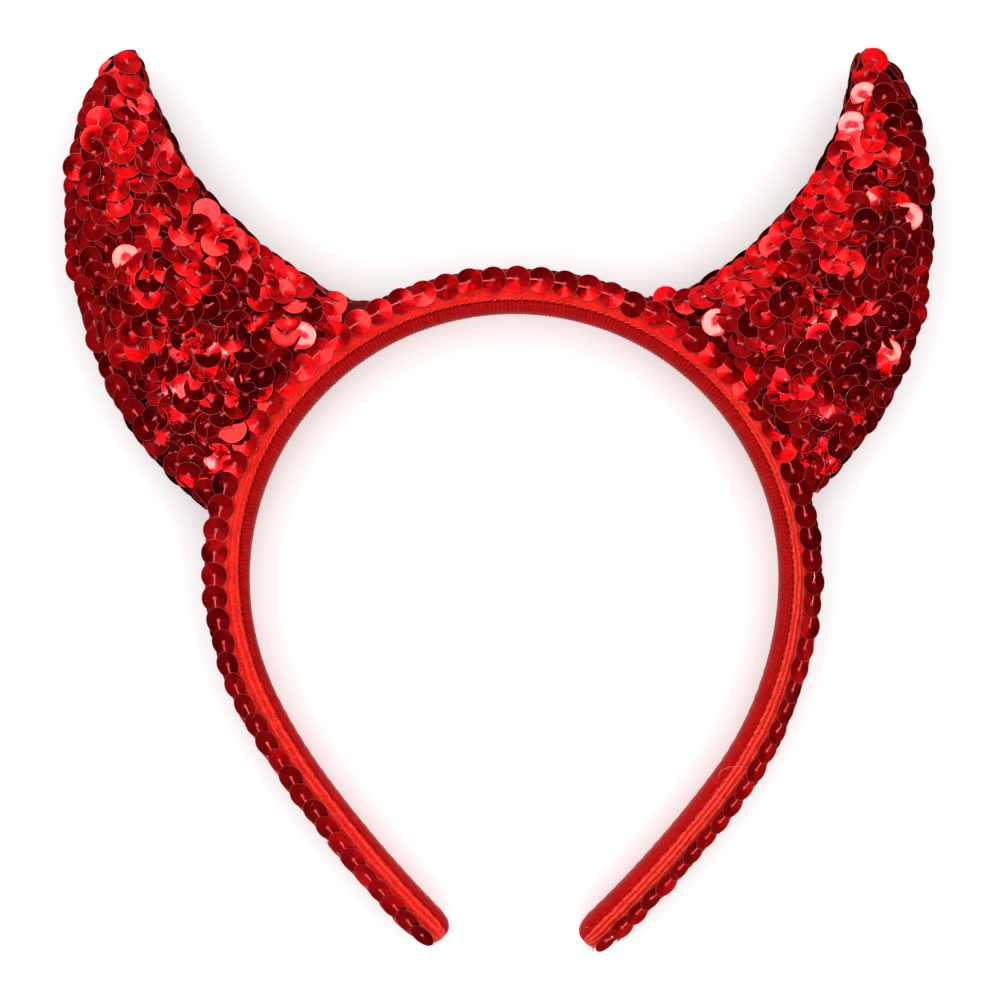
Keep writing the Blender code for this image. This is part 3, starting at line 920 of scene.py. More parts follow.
def make_satin_cover(material):
    """The satin that covers the padded band, closed at the rounded tips."""
    front = [(out * MM, height * MM) for out, height in SATIN_SECTION]
    back = [(out, -height) for out, height in reversed(front[1:-1])]
    section = np.array(front + back)
    stations = even_steps(LEFT_LEG_END, RIGHT_LEG_END, SATIN_STEP)
    mesh = loft_along_band("satin_cover", section, stations, satin_relief, 60.0)
    return new_piece("satin_cover", mesh, [material], ["satin_band"])


def lining_relief(along, section, girth):
    """Ribs across the lining over the crown, which slant and fade out down the legs."""
    fade = 1.0 - np.clip((abs(along) - RIBS_END) / RIBS_FADE, 0.0, RIBS_MOST_FADE)
    slant = np.clip((abs(along) - RIBS_SLANT_FROM) / RIBS_SLANT_OVER, 0.0, 1.0) * RIBS_SLANT * np.sign(along)
    wave = np.cos(2.0 * math.pi * (along + slant * girth) / RIB_PITCH)
    ribs = 0.5 + 0.5 * wave
    wraps = wrap_share(along, girth)
    # Painted shade: the share is lowest between the ribs and between the ribbon's turns
    share = np.clip(0.25 + 0.75 * ribs * fade + 0.7 * (1.0 - fade) + 0.15 * wraps, 0.0, 1.0)
    return RIB_HEIGHT * ribs * fade + 0.5 * WRAP_HEIGHT * wraps, share


def make_ribbed_lining(material):
    """The ribbed ribbon that lines the inner side and folds up beside the satin."""
    face = [(out * MM, height * MM) for out, height in LINING_FACE]
    face = face + [(out, -height) for out, height in reversed(face[:-1])]
    under = [(out + LINING_THICKNESS, height * 0.93) for out, height in reversed(face[1:-1:3])]
    section = np.array(face + under)
    stations = even_steps(LEFT_LEG_END + 0.1 * MM, RIGHT_LEG_END - 0.1 * MM, RIB_PITCH / RIB_SAMPLES)
    mesh = loft_along_band("ribbed_lining", section, stations, lining_relief, 50.0)
    return new_piece("ribbed_lining", mesh, [material], ["satin_band"])


def sew_edge(finish):
    """The line of small slanting stitches that holds the lining to the satin, on the front and the back."""
    work = ThreadWork()
    for side in (1.0, -1.0):
        for along in even_steps(LEFT_LEG_END + TIP_LENGTH, RIGHT_LEG_END - TIP_LENGTH, EDGE_STITCH_PITCH):
            path = []
            for share, rise in EDGE_STITCH_ARCH:
                place = along + share * EDGE_STITCH_LENGTH
                out = EDGE_STITCH_OUT + share * EDGE_STITCH_SLANT
                out, front = shift_lining_edge(place, out, EDGE_STITCH_FRONT)
                path.append(band_point(place, float(out), side * (float(front) + rise * MM)))
            work.add_tube(path, EDGE_STITCH_RADIUS)
    work.finish("lining_stitches", finish, "satin_ribbon")


def fray(finish):
    """A loose loop of thread on the right leg and short frayed ends at both tips."""
    rng = np.random.default_rng(FRAY_SEED)
    work = ThreadWork()
    work.add_tube([Vector(spot) * MM for spot in LOOSE_LOOP], LOOSE_THREAD_RADIUS)
    for end, along_sign in ((LEFT_LEG_END, -1.0), (RIGHT_LEG_END, 1.0)):
        for _ in range(FRAYED_ENDS):
            start = end - along_sign * rng.uniform(*FRAY_FROM_TIP)
            out = rng.uniform(*FRAY_OUT)
            sideways = rng.normal(0.0, FRAY_SIDEWAYS)
            reach = rng.uniform(*FRAY_REACH)
            height = FRAY_HEIGHT - FRAY_DROP * (1.0 - tip_fullness(start)) ** 0.6
            path = []
            for share, rise in FRAY_ARCH:
                place = min(max(start + along_sign * reach * share, LEFT_LEG_END), RIGHT_LEG_END)
                path.append(band_point(place, out + sideways * share, height + rise * MM))
            work.add_tube(path, LOOSE_THREAD_RADIUS)
    work.finish("loose_threads", finish, "satin_ribbon")


# Sequins

Placing = namedtuple("Placing", "matrix tone cup warp warp_turn")


def cup_middle(radius):
    """Height of the middle of the cup's sheet above the sequin's middle."""
    return CUP_DEPTH * (radius / SEQUIN_RADIUS - 0.5)


def cup_height(radius):
    """Height of the cup's upper side above the sequin's middle."""
    return cup_middle(radius) + SEQUIN_SHEET / 2


def sequin_template():
    """Points of one sequin and its faces, with 1 for the faces of its cut edges."""
    inner_lip = SEQUIN_HOLE + CUT_EDGE
    outer_lip = SEQUIN_RADIUS - CUT_EDGE
    rings = (
        (SEQUIN_HOLE, cup_height(SEQUIN_HOLE) - 0.04 * MM, 1),
        (inner_lip, cup_height(inner_lip), 0),
        (outer_lip, cup_height(outer_lip), 1),
        (SEQUIN_RADIUS, cup_height(SEQUIN_RADIUS) - 0.05 * MM, 1),
        (SEQUIN_RADIUS, cup_height(SEQUIN_RADIUS) - SEQUIN_SHEET, 0),
        (SEQUIN_HOLE, cup_height(SEQUIN_HOLE) - SEQUIN_SHEET, 1),
    )
    angles = np.arange(SEQUIN_SIDES) * 2.0 * math.pi / SEQUIN_SIDES
    circle = np.column_stack((np.cos(angles), np.sin(angles)))
    points, faces, edges = [], [], []
    for ring, (radius, height, edge) in enumerate(rings):
        points.append(np.column_stack((radius * circle, np.full(SEQUIN_SIDES, height))))
        following = (ring + 1) % len(rings)
        for side in range(SEQUIN_SIDES):
            after = (side + 1) % SEQUIN_SIDES
            low, high = ring * SEQUIN_SIDES, following * SEQUIN_SIDES
            faces.append((low + side, high + side, high + after, low + after))
            edges.append(edge)
    return np.concatenate(points), np.array(faces), np.array(edges)


SEQUIN_POINTS, SEQUIN_FACES, SEQUIN_EDGES = sequin_template()


def warped_points(placing):
    """Where the points of one sequin lie, bent a little out of true."""
    points = SEQUIN_POINTS.copy()
    points[:, 2] *= placing.cup
    reach = np.hypot(points[:, 0], points[:, 1]) / SEQUIN_RADIUS
    angle = np.arctan2(points[:, 1], points[:, 0])
    points[:, 2] += placing.warp * reach ** 2 * np.cos(2.0 * (angle - placing.warp_turn))
    turn = np.array(placing.matrix.to_3x3())
    return points @ turn.T + np.array(placing.matrix.translation)


def stamp_sequins(name, placings, materials, nodes):
    """One piece of many sequins."""
    points = np.concatenate([warped_points(placing) for placing in placings])
    count = len(SEQUIN_POINTS)
    faces = np.concatenate([SEQUIN_FACES + count * index for index in range(len(placings))])
    mesh = mesh_of(name, points, faces.tolist(), 9.0)
    mesh.polygons.foreach_set("material_index", np.tile(SEQUIN_EDGES, len(placings)).astype(np.int32))
    set_numbers(mesh, "tone", np.repeat([placing.tone for placing in placings], count))
    return new_piece(name, mesh, materials, nodes)


def seat_front(lean, out):
    """Height of a shoulder sequin's centre, so that it just rests on the satin."""
    reach = max(rim.out * math.sin(lean) + rim.front * math.cos(lean) for rim in BAND_SECTION)
    clearance = SEAT_GAP + CUP_DEPTH / 2 + SEQUIN_SHEET / 2
    return (reach + clearance - out * math.sin(lean)) / math.cos(lean)


def shoulder_seat(along):
    """Lean and centre of a shoulder sequin at a distance along the band."""
    lean = math.radians(read_table(SHOULDER_SEATS, along / MM, 1))
    out = read_table(SHOULDER_SEATS, along / MM, 2) * MM
    return lean, out, seat_front(lean, out)


def sequin_matrix(along, lean, out, front, shingle, sideways):
    """Frame of one sequin of a string: local z is its face, local x runs back to the one before."""
    centre = band_point(along, out, front)
    outward = band_frame(along)[1]
    outward = Vector((outward.x, outward.y, 0.0))
    side = -1.0 if front < 0 else 1.0
    lean = lean + sideways
    face = outward * math.sin(lean) + Vector((0.0, 0.0, side * math.cos(lean)))
    before = Vector((outward.y, -outward.x, 0.0))
    tipped_face = (face * math.cos(shingle) - before * math.sin(shingle)).normalized()
    across = tipped_face.cross(before).normalized()
    forward = across.cross(tipped_face)
    turn = Matrix((forward, across, tipped_face)).transposed().to_4x4()
    return Matrix.Translation(centre) @ turn


def above_table(matrix):
    """The same place, raised where needed so that the sequin stays on the table."""
    turn = np.array((LYING @ matrix).to_3x3())
    heights = SEQUIN_POINTS @ turn.T[:, 2] + (LYING @ matrix).translation.z
    short = 0.05 * MM - heights.min()
    return Matrix.Translation((0.0, 0.0, short)) @ matrix if short > 0 else matrix


def bent_placing(matrix, tone, cup, most_warp, rng):
    """A sequin's place above the table, with a slight bend of its own."""
    return Placing(above_table(matrix), tone, cup, rng.uniform(0.0, most_warp), rng.uniform(0.0, math.pi))


def string_placings(stations, seat, side, looseness, rng):
    """Sequins of one string, each leaning over the one before."""
    placings = []
    for along in stations:
        lean, out, front = seat(along)
        shingle, sideways, shift = (rng.normal(0.0, 1.0) * scatter * looseness for scatter in STRING_SCATTER)
        matrix = sequin_matrix(along, lean, out + shift, side * front, SHINGLE_LEAN + shingle, sideways)
        matrix = matrix @ Matrix.Rotation(rng.uniform(0.0, 2.0 * math.pi), 4, "Z")
        tone, cup = rng.uniform(0.0, 1.0), rng.uniform(*STRING_CUPS)
        placings.append(bent_placing(matrix, tone, cup, STRING_WARP, rng))
    return placings


def middle_seat(along):
    """The middle string lies on the band's outer face, turned a little to the front."""
    seat = LEG_SEAT if abs(along) > -CROWN_RUN.start else CROWN_SEAT
    return seat.lean, BAND_OUT + seat.rise, 1e-9


# Threads

def tube_between(path, radius):
    """Rings of a thin tube through a few points."""
    rings = []
    path = np.array(path)
    angles = np.arange(THREAD_SIDES) * 2.0 * math.pi / THREAD_SIDES
    for index, point in enumerate(path):
        forward = unit(path[min(index + 1, len(path) - 1)] - path[max(index - 1, 0)])
        guide = np.array((0.0, 0.0, 1.0)) if abs(forward[2]) < 0.8 else np.array((1.0, 0.0, 0.0))
        across = unit(np.cross(forward, guide))
        upward = np.cross(across, forward)
        rings.append(point + radius * (np.cos(angles)[:, None] * across + np.sin(angles)[:, None] * upward))
    return rings


class ThreadWork:
    """Collects many short threads and knots into one piece."""

    def __init__(self):
        self.points = []
        self.faces = []

    def add_rings(self, rings):
        """Close a tube or bead over its rings of points."""
        start = len(self.points)
        for ring in rings:
            self.points.extend(ring)
        for face in loft_faces(len(rings), len(rings[0])):
            self.faces.append(tuple(start + index for index in face))

    def add_tube(self, path, radius):
        """A thread through a few points."""
        self.add_rings(tube_between(path, radius))

    def add_knot(self, matrix, radius):
        """A knot sitting in a sequin's hole, as a slightly flattened bead."""
        rings = []
        for row in range(KNOT_ROWS):
            angle = math.pi * (0.04 + 0.92 * row / (KNOT_ROWS - 1))
            out, height = radius * math.sin(angle), KNOT_FLATNESS * radius * math.cos(angle)
            turns = [2.0 * math.pi * step / KNOT_SIDES for step in range(KNOT_SIDES)]
            ring = [Vector((out * math.cos(turn), out * math.sin(turn), height)) for turn in turns]
            rings.append([matrix @ spot for spot in ring])
        self.add_rings(rings)

    def finish(self, name, material, slot):
        """Make the collected threads one piece."""
        return new_piece(name, mesh_of(name, self.points, self.faces, THREAD_SMOOTHNESS), [material])


def sew_on(work, matrix, towards, reach, rng):
    """Thread from a sequin's hole over its face towards the neighbour that covers it, with a knot."""
    local = matrix.to_3x3().inverted() @ (towards - matrix.translation)
    direction = Vector((local.x, local.y, 0.0)).normalized()
    bend = Vector((-direction.y, direction.x, 0.0)) * rng.normal(0.0, THREAD_BEND)
    path = []
    for share, rise in THREAD_ARCH:
        distance = THREAD_START + (reach - THREAD_START) * share
        height = cup_height(max(distance, SEQUIN_HOLE)) + rise * MM
        place = direction * distance + bend * math.sin(math.pi * share)
        path.append(matrix @ Vector((place.x, place.y, height)))
    work.add_tube(path, THREAD_RADIUS)
    work.add_knot(matrix @ Matrix.Translation((0.0, 0.0, cup_height(SEQUIN_HOLE) + 0.02 * MM)), KNOT_RADIUS)


def sew_string(work, placings, rng):
    """Threads of a whole string: each sequin is held from under the next one."""
    for placing, following in zip(placings, placings[1:]):
        towards = following.matrix.translation
        gap = (towards - placing.matrix.translation).length
        sew_on(work, placing.matrix, towards, gap - SEQUIN_RADIUS + STRING_REACH, rng)
    last = placings[-1]
    work.add_knot(last.matrix @ Matrix.Translation((0.0, 0.0, cup_height(SEQUIN_HOLE))), KNOT_RADIUS)


# Horns

def horn_section_points(section):
    """Points across one table row, from the outer edge to the inner edge, with the half-depth at each."""
    outer = np.array((section.outer_x, section.outer_y)) * MM
    inner = np.array((section.inner_x, section.inner_y)) * MM
    chord = inner - outer
    unit = chord / np.linalg.norm(chord)
    outer = outer + unit * CLOTH_INSET
    inner = inner - unit * CLOTH_INSET
    chord = inner - outer
    to_tip = np.array((-unit[1], unit[0]))
    to_tip = to_tip if to_tip[1] > 0 else -to_tip
    shares = np.linspace(0.0, 1.0, CLOTH_ACROSS + 1)
    bows = section.bow * MM * (1.0 - (2.0 * shares - 1.0) ** 2)
    spots = outer + shares[:, None] * chord + bows[:, None] * to_tip
    depth = max(section.depth * MM - CLOTH_INSET, 0.3 * MM)
    return np.column_stack((spots, np.full(len(shares), depth)))


def horn_neck_points(neck, turn):
    """Points across the horn's neck: an arc that follows the band's outer face."""
    angles = np.linspace(turn.start, turn.end, CLOTH_ACROSS + 1)
    radius = CROWN_RADIUS + neck.out
    depth = neck.depth - 0.3 * CLOTH_INSET
    return np.column_stack((radius * np.sin(angles), radius * np.cos(angles), np.full(len(angles), depth)))


def smooth_rows(rows, count):
    """Rows spread evenly from base to tip on Catmull-Rom curves through the given ones."""
    table = np.array(rows)
    middles = table[:, CLOTH_ACROSS // 2, :2]
    knots = lengths_along(middles)
    steps = np.diff(knots)
    slopes = np.zeros_like(table)
    slopes[1:-1] = (table[2:] - table[:-2]) / (knots[2:] - knots[:-2])[:, None, None]
    slopes[0] = (table[1] - table[0]) / steps[0]
    slopes[-1] = (table[-1] - table[-2]) / steps[-1]
    spread = []
    for place in np.linspace(0.0, knots[-1], count):
        row = min(int(np.searchsorted(knots, place, side="right")) - 1, len(steps) - 1)
        length = steps[row]
        share = (place - knots[row]) / length
        value = table[row] * (1 + 2 * share) * (1 - share) ** 2
        value = value + slopes[row] * length * share * (1 - share) ** 2
        value = value + table[row + 1] * share ** 2 * (3 - 2 * share)
        value = value - slopes[row + 1] * length * share ** 2 * (1 - share)
        spread.append(value)
    return np.array(spread)


def cloth_loop(row):
    """A loop round the cloth at one row: out along the front, back along the flattened back."""
    places = np.linspace(-1.0, 1.0, CLOTH_ACROSS + 1)
    half = CLOTH_SEAM_HALF + row[:, 2] * np.maximum(1.0 - places ** 2, 0.0) ** HORN_FULLNESS
    half[0] = half[-1] = 0.0
    front = np.column_stack((row[:, :2], half))
    lowest = np.array([rest_height(y) for y in row[:, 1]]) + CLOTH_INSET
    back = np.column_stack((row[:, :2], np.maximum(-half, lowest)))
    return np.concatenate((front, back[-2:0:-1]))


HornCloth = namedtuple("HornCloth", "points normals")


def horn_cloth_grid(table, base_turn):
    """Points of the horn's cloth in rows and loops, with the direction away from it at each."""
    neck = [horn_neck_points(arc, base_turn) for arc in HORN_NECK]
    rows = neck[1:] + [horn_section_points(section) for section in table]
    rows = np.concatenate((np.array(neck[:1]), smooth_rows(rows, CLOTH_ROWS - 1)))
    points = np.array([cloth_loop(row) for row in rows])
    upward = np.gradient(points, axis=0)
    around = np.roll(points, -1, axis=1) - np.roll(points, 1, axis=1)
    normals = facing_away(unit(np.cross(upward, around)), points, points.mean(axis=1, keepdims=True))
    return HornCloth(points, normals)


def pucker(grid, rng):
    """Small hollows and swells in the stuffing, strongest beside the seam."""
    rows, loop = grid.points.shape[:2]
    phase = rng.uniform(0.0, 2.0 * math.pi, 4)
    row = np.arange(rows)[:, None]
    place = np.arange(loop)[None, :]
    beside_seam = np.abs(np.cos(place * 2.0 * math.pi / loop)) ** SEAM_NARROWNESS
    swell = np.sin(row * SWELL_ROW_TURN + phase[0]) * np.sin(place * SWELL_PLACE_TURN + phase[1])
    sway = FOLD_SWAY * np.sin(place * FOLD_SWAY_TURN)
    folds = np.sin(row * FOLD_ROW_TURN + phase[2] + sway) * beside_seam * FOLD_HEIGHT
    settled = np.clip(row / STILL_BASE_ROWS, 0.0, 1.0) * np.clip((rows - 1 - row) / STILL_TIP_ROWS, 0.0, 1.0)
    height = (swell * SWELL_HEIGHT + folds) * settled * MM
    height = np.where(grid.normals[:, :, 2] < -0.5, 0.0, height)
    return HornCloth(grid.points + grid.normals * height[:, :, None], grid.normals)


def make_horn_cloth_piece(name, grid, material, node):
    """The stuffed cloth of one horn."""
    rows, loop = grid.points.shape[:2]
    mesh = mesh_of(name, grid.points.reshape(-1, 3), loft_faces(rows, loop), 75.0)
    map_along(
        mesh,
        np.repeat(np.arange(rows) * 2.0 * MM, loop),
        np.tile(np.arange(loop) * 2.0 * MM, rows),
    )
    piece = new_piece(name, mesh, [material], [node])
    return piece


def inset_from_seams(grid):
    """How far each place of the grid lies in from the nearer seam, seen from the front."""
    flat = grid.points[:, :, :2]
    outer = np.linalg.norm(flat - flat[:, :1], axis=2)
    inner = np.linalg.norm(flat - flat[:, CLOTH_ACROSS:CLOTH_ACROSS + 1], axis=2)
    return np.minimum(outer, inner)


def sample_cloth(grid, count, rng):
    """Random places spread evenly over the cloth inside its edge strings, as spots and directions."""
    points = grid.points
    loop = points.shape[1]
    across = np.roll(points, -1, axis=1)
    areas = np.linalg.norm(np.cross(points[1:] - points[:-1], across[:-1] - points[:-1]), axis=2)
    areas = np.where(inset_from_seams(grid)[:-1] > EDGE_INSET, areas, 0.0).ravel()
    cells = rng.choice(len(areas), size=count, p=areas / areas.sum())
    row, place = cells // loop, cells % loop
    return read_cloth(grid, row + rng.uniform(size=count), place + rng.uniform(size=count))


def read_cloth(grid, row, place):
    """Points, directions away from the cloth and directions to the tip at given rows and places."""
    rows, loop = grid.points.shape[:2]
    low = np.clip(np.floor(row).astype(int), 0, rows - 2)
    left = np.floor(place).astype(int) % loop
    right = (left + 1) % loop
    v = (row - low)[:, None]
    u = (place - np.floor(place))[:, None]

    def blend(field):
        lower = field[low, left] * (1 - u) + field[low, right] * u
        upper = field[low + 1, left] * (1 - u) + field[low + 1, right] * u
        return lower * (1 - v) + upper * v, upper - lower

    spots, to_tip = blend(grid.points)
    away = unit(blend(grid.normals)[0])
    return spots, away, unit(to_tip - away * np.sum(to_tip * away, axis=1)[:, None])


def string_line(grid, columns, inset):
    """Rows and places of a line over one face that stays a set distance in from the seam it starts at."""
    line = grid.points[:, columns % grid.points.shape[1], :2]
    reach = np.linalg.norm(line - line[:, :1], axis=2)
    wide_enough = reach[:, -1] > 2.0 * inset - 0.25 * FIELD_STRING_GAP
    rows = np.flatnonzero(wide_enough)
    places = np.array([np.interp(inset, reach[row], columns) for row in rows])
    return rows.astype(float), places


def string_stations(grid, columns, inset, stagger):
    """Rows and places at which the sequins of one string are sewn on."""
    rows, places = string_line(grid, columns, inset)
    if len(rows) < 2:
        return rows, places
    spots = read_cloth(grid, np.minimum(rows, CLOTH_ROWS - 1.001), places)[0]
    lengths = lengths_along(spots)
    wanted = np.arange(stagger * FIELD_PITCH, lengths[-1], FIELD_PITCH)
    return np.interp(wanted, lengths, rows), np.interp(wanted, lengths, places)


FieldSpots = namedtuple("FieldSpots", "spots away to_tip runs")


def spread_over_horn(grid, tip_shift, rng):
    """Where the sequins of one horn are sewn: string by string from both seams, then in the gaps left.

    A run of 1 means that each sequin lies over the one nearer to the band, and -1 the other way round.
    """
    across = CLOTH_ACROSS
    faces = (
        (np.arange(0, across + 1), -1.0),
        (np.arange(across, -1, -1), 1.0),
        (np.arange(2 * across, across - 1, -1), -1.0),
        (np.arange(across, 2 * across + 1), 1.0),
    )
    rows_at, places_at, runs_at = [], [], []
    for string in range(MOST_STRINGS):
        for columns, run in faces:
            inset = EDGE_INSET + string * FIELD_STRING_GAP
            rows, places = string_stations(grid, columns, inset, FIELD_STAGGERS[string % 2])
            rows_at.append(rows + rng.normal(0.0, ROW_SCATTER, len(rows)))
            places_at.append(places)
            own_run = run if string < SEAM_SIDE_STRINGS else rng.choice((-1.0, 1.0))
            runs_at.append(np.full(len(rows), own_run))
    rows = np.clip(np.concatenate(rows_at), 0.0, CLOTH_ROWS - 1.01)
    places = np.concatenate(places_at) % grid.points.shape[1]
    strung = read_cloth(grid, rows, places)
    loose = sample_cloth(grid, FIELD_CANDIDATES, rng)
    tip = grid.points[-1].mean(axis=0)
    to_end = unit(tip - grid.points[-TIP_ROWS].mean(axis=0))
    middles = np.array((across / 2 + tip_shift, 1.5 * across - tip_shift))
    kept_spots, tip_away, tip_forward = read_cloth(grid, np.full(TIP_SEQUINS, TIP_SEQUIN_ROW), middles)
    kept = [(away, forward, 1.0) for away, forward in zip(tip_away, tip_forward)]
    for group, runs, spacing in (
        (strung, np.concatenate(runs_at), FIELD_SPACING),
        (loose, rng.choice((-1.0, 1.0), FIELD_CANDIDATES), GAP_SPACING),
    ):
        for spot, away, to_tip, run in zip(*group, runs):
            wander = rng.normal(0.0, FIELD_WANDER, 3)
            spot = spot + wander - away * float(wander @ away)
            if math.hypot(spot[0], spot[1]) < CROWN_RADIUS + FIELD_BASE_OUT:
                continue
            if float((tip - spot) @ to_end) < TIP_INSET:
                continue
            if np.min(np.linalg.norm(kept_spots - spot, axis=1)) < spacing:
                continue
            kept_spots = np.vstack((kept_spots, spot))
            kept.append((away, to_tip, run))
    return FieldSpots(kept_spots, *(np.array(column) for column in zip(*kept)))


def seam_line(grid, column):
    """Even places along one line of the cloth beside a seam: spots, ways out and ways to the tip."""
    line = grid.points[:, column]
    lengths = lengths_along(line)
    wanted = np.arange(0.5 * SEAM_PITCH, lengths[-1] - SEAM_TIP_GAP, SEAM_PITCH)
    rows = np.minimum(np.interp(wanted, lengths, np.arange(len(lengths))), CLOTH_ROWS - 1.001)
    spots, _, to_tip = read_cloth(grid, rows, np.full(len(rows), float(column)))
    middles = read_cloth(grid, rows, np.full(len(rows), CLOTH_ACROSS / 2))[0]
    sideways = unit(np.column_stack((to_tip[:, 1], -to_tip[:, 0], np.zeros(len(rows)))))
    outward = np.sign(np.sum(sideways * (spots - middles), axis=1))[:, None]
    return spots, sideways * outward, to_tip


def seam_placings(grid, rng):
    """Sequins that stand along both seams, one row before and one row behind each, and hide them."""
    placings = []
    for column, run in ((0, -1.0), (CLOTH_ACROSS, 1.0)):
        for side in (1.0, -1.0):
            for spot, sideways, forward in zip(*seam_line(grid, column)):
                if math.hypot(spot[0], spot[1]) < CROWN_RADIUS + SEAM_BASE_OUT:
                    continue
                turned = SEAM_LEAN + rng.normal(0.0, SEAM_LEAN_SCATTER)
                face = sideways * math.sin(turned) + np.array((0.0, 0.0, side * math.cos(turned)))
                face = face + np.array(forward) * (-SHINGLE_LEAN * run + rng.normal(0.0, SEAM_TIP_SCATTER))
                rise = SEAM_RISE + rng.uniform(0.0, SEAM_RISE_SCATTER)
                centre = spot + sideways * rise + np.array((0.0, 0.0, side * SEAM_ROW_HEIGHT))
                matrix = sequin_frame(centre, face, forward)
                tone, cup = rng.uniform(0.0, 1.0), rng.uniform(*SEAM_CUPS)
                placings.append(bent_placing(matrix, tone, cup, HORN_WARP, rng))
    return placings


def calmer(away):
    """Sequins lie flatter than the cloth where it turns down to the seam."""
    flat = np.hypot(away[0], away[1])
    slope = math.degrees(math.atan2(flat, abs(away[2])))
    if slope < CALM_SLOPE:
        return away
    wanted = math.radians(CALM_SLOPE + CALM_SHARE * (slope - CALM_SLOPE))
    sideways = np.array((away[0], away[1], 0.0)) / flat
    up = np.array((0.0, 0.0, 1.0 if away[2] >= 0 else -1.0))
    return up * math.cos(wanted) + sideways * math.sin(wanted)


def drift_over(spots, rng):
    """A slow change of lean over the field, as the stuffing swells and sinks."""
    lean = np.zeros_like(spots)
    for _ in range(DRIFT_WAVES):
        bearing = rng.uniform(0.0, 2.0 * math.pi)
        wavelength = rng.uniform(*DRIFT_LENGTHS)
        along = (spots[:, 0] * math.cos(bearing) + spots[:, 1] * math.sin(bearing)) / wavelength
        swing = np.sin(2.0 * math.pi * along + rng.uniform(0.0, 2.0 * math.pi)) * FIELD_DRIFT * DRIFT_SHARE
        towards = rng.uniform(0.0, 2.0 * math.pi)
        lean[:, 0] += swing * math.cos(towards)
        lean[:, 1] += swing * math.sin(towards)
    return lean


def sequin_frame(spot, face, to_tip):
    """Frame of a sequin from its centre, its face and roughly the way to the tip."""
    face = Vector(face).normalized()
    forward = Vector(to_tip) - face * face.dot(Vector(to_tip))
    forward.normalize()
    across = face.cross(forward)
    turn = Matrix((forward, across, face)).transposed().to_4x4()
    return Matrix.Translation(Vector(spot)) @ turn


def rise_past(points, centre, face, normal, side):
    """How far points must rise along a direction to clear a sequin under them, or over them for side -1."""
    offset = points - centre
    height = offset @ face
    radius = np.linalg.norm(offset - height[:, None] * face, axis=1)
    inside = (radius < SEQUIN_RADIUS) & (radius > SEQUIN_HOLE)
    if not inside.any():
        return 0.0
    surface = cup_middle(radius[inside]) + side * (SEQUIN_SHEET / 2 + CLEARANCE)
    return float(np.max(side * (surface - height[inside]))) / max(float(normal @ face), LEAST_CLIMB)


def clearance_needed(lower, upper, normal, samples):
    """How far the upper of two sequins must rise along a direction, so that neither cuts the other."""
    flat, cup = samples
    (lower_centre, lower_turn), (upper_centre, upper_turn) = lower, upper
    under = np.column_stack((flat, cup - SEQUIN_SHEET / 2)) @ upper_turn.T + upper_centre
    over = np.column_stack((flat, cup + SEQUIN_SHEET / 2)) @ lower_turn.T + lower_centre
    return max(
        rise_past(under, lower_centre, lower_turn[:, 2], normal, 1.0),
        rise_past(over, upper_centre, upper_turn[:, 2], normal, -1.0),
    )


def pick_catching(field, calm, catch_lights):
    """The sequins nearest to the places where one catches a lamp."""
    chosen = {}
    for light in catch_lights:
        place = np.array((light.x * MM, light.y * MM))
        distance = np.linalg.norm(field.spots[:, :2] - place, axis=1) + np.where(calm[:, 2] > 0.5, 0.0, 1.0)
        chosen[int(np.argmin(distance))] = light
    return chosen


def leaning_faces(field, calm, order, catching, twist, rng):
    """Which way each sequin faces: off its neighbours that lie over it, and loosely."""
    drift = drift_over(field.spots, rng) + np.array((math.tan(twist), 0.0, 0.0))
    faces = []
    for index in range(len(field.spots)):
        offsets = field.spots - field.spots[index]
        distance = np.linalg.norm(offsets, axis=1)
        near = (distance > 0) & (distance < 2.0 * SEQUIN_RADIUS) & (calm @ calm[index] > 0.3)
        overlap = (2.0 * SEQUIN_RADIUS - distance[near]) / (2.0 * SEQUIN_RADIUS)
        above = np.where(order[near] > order[index], 1.0, -1.0)
        lean = (offsets[near] / distance[near][:, None] * (overlap * above)[:, None]).sum(axis=0)
        size = np.linalg.norm(lean)
        lean = lean / size * FIELD_LEAN if size > 1e-9 else lean
        face = calm[index] + lean + drift[index] + rng.normal(0.0, FIELD_TILT, 3)
        if index in catching:
            to_camera = np.array(CAMERA_SPOT) - field.spots[index]
            face = unit(to_camera) + LAMP_DIRECTIONS[catching[index].lamp]
        faces.append(unit(face))
    return np.array(faces)


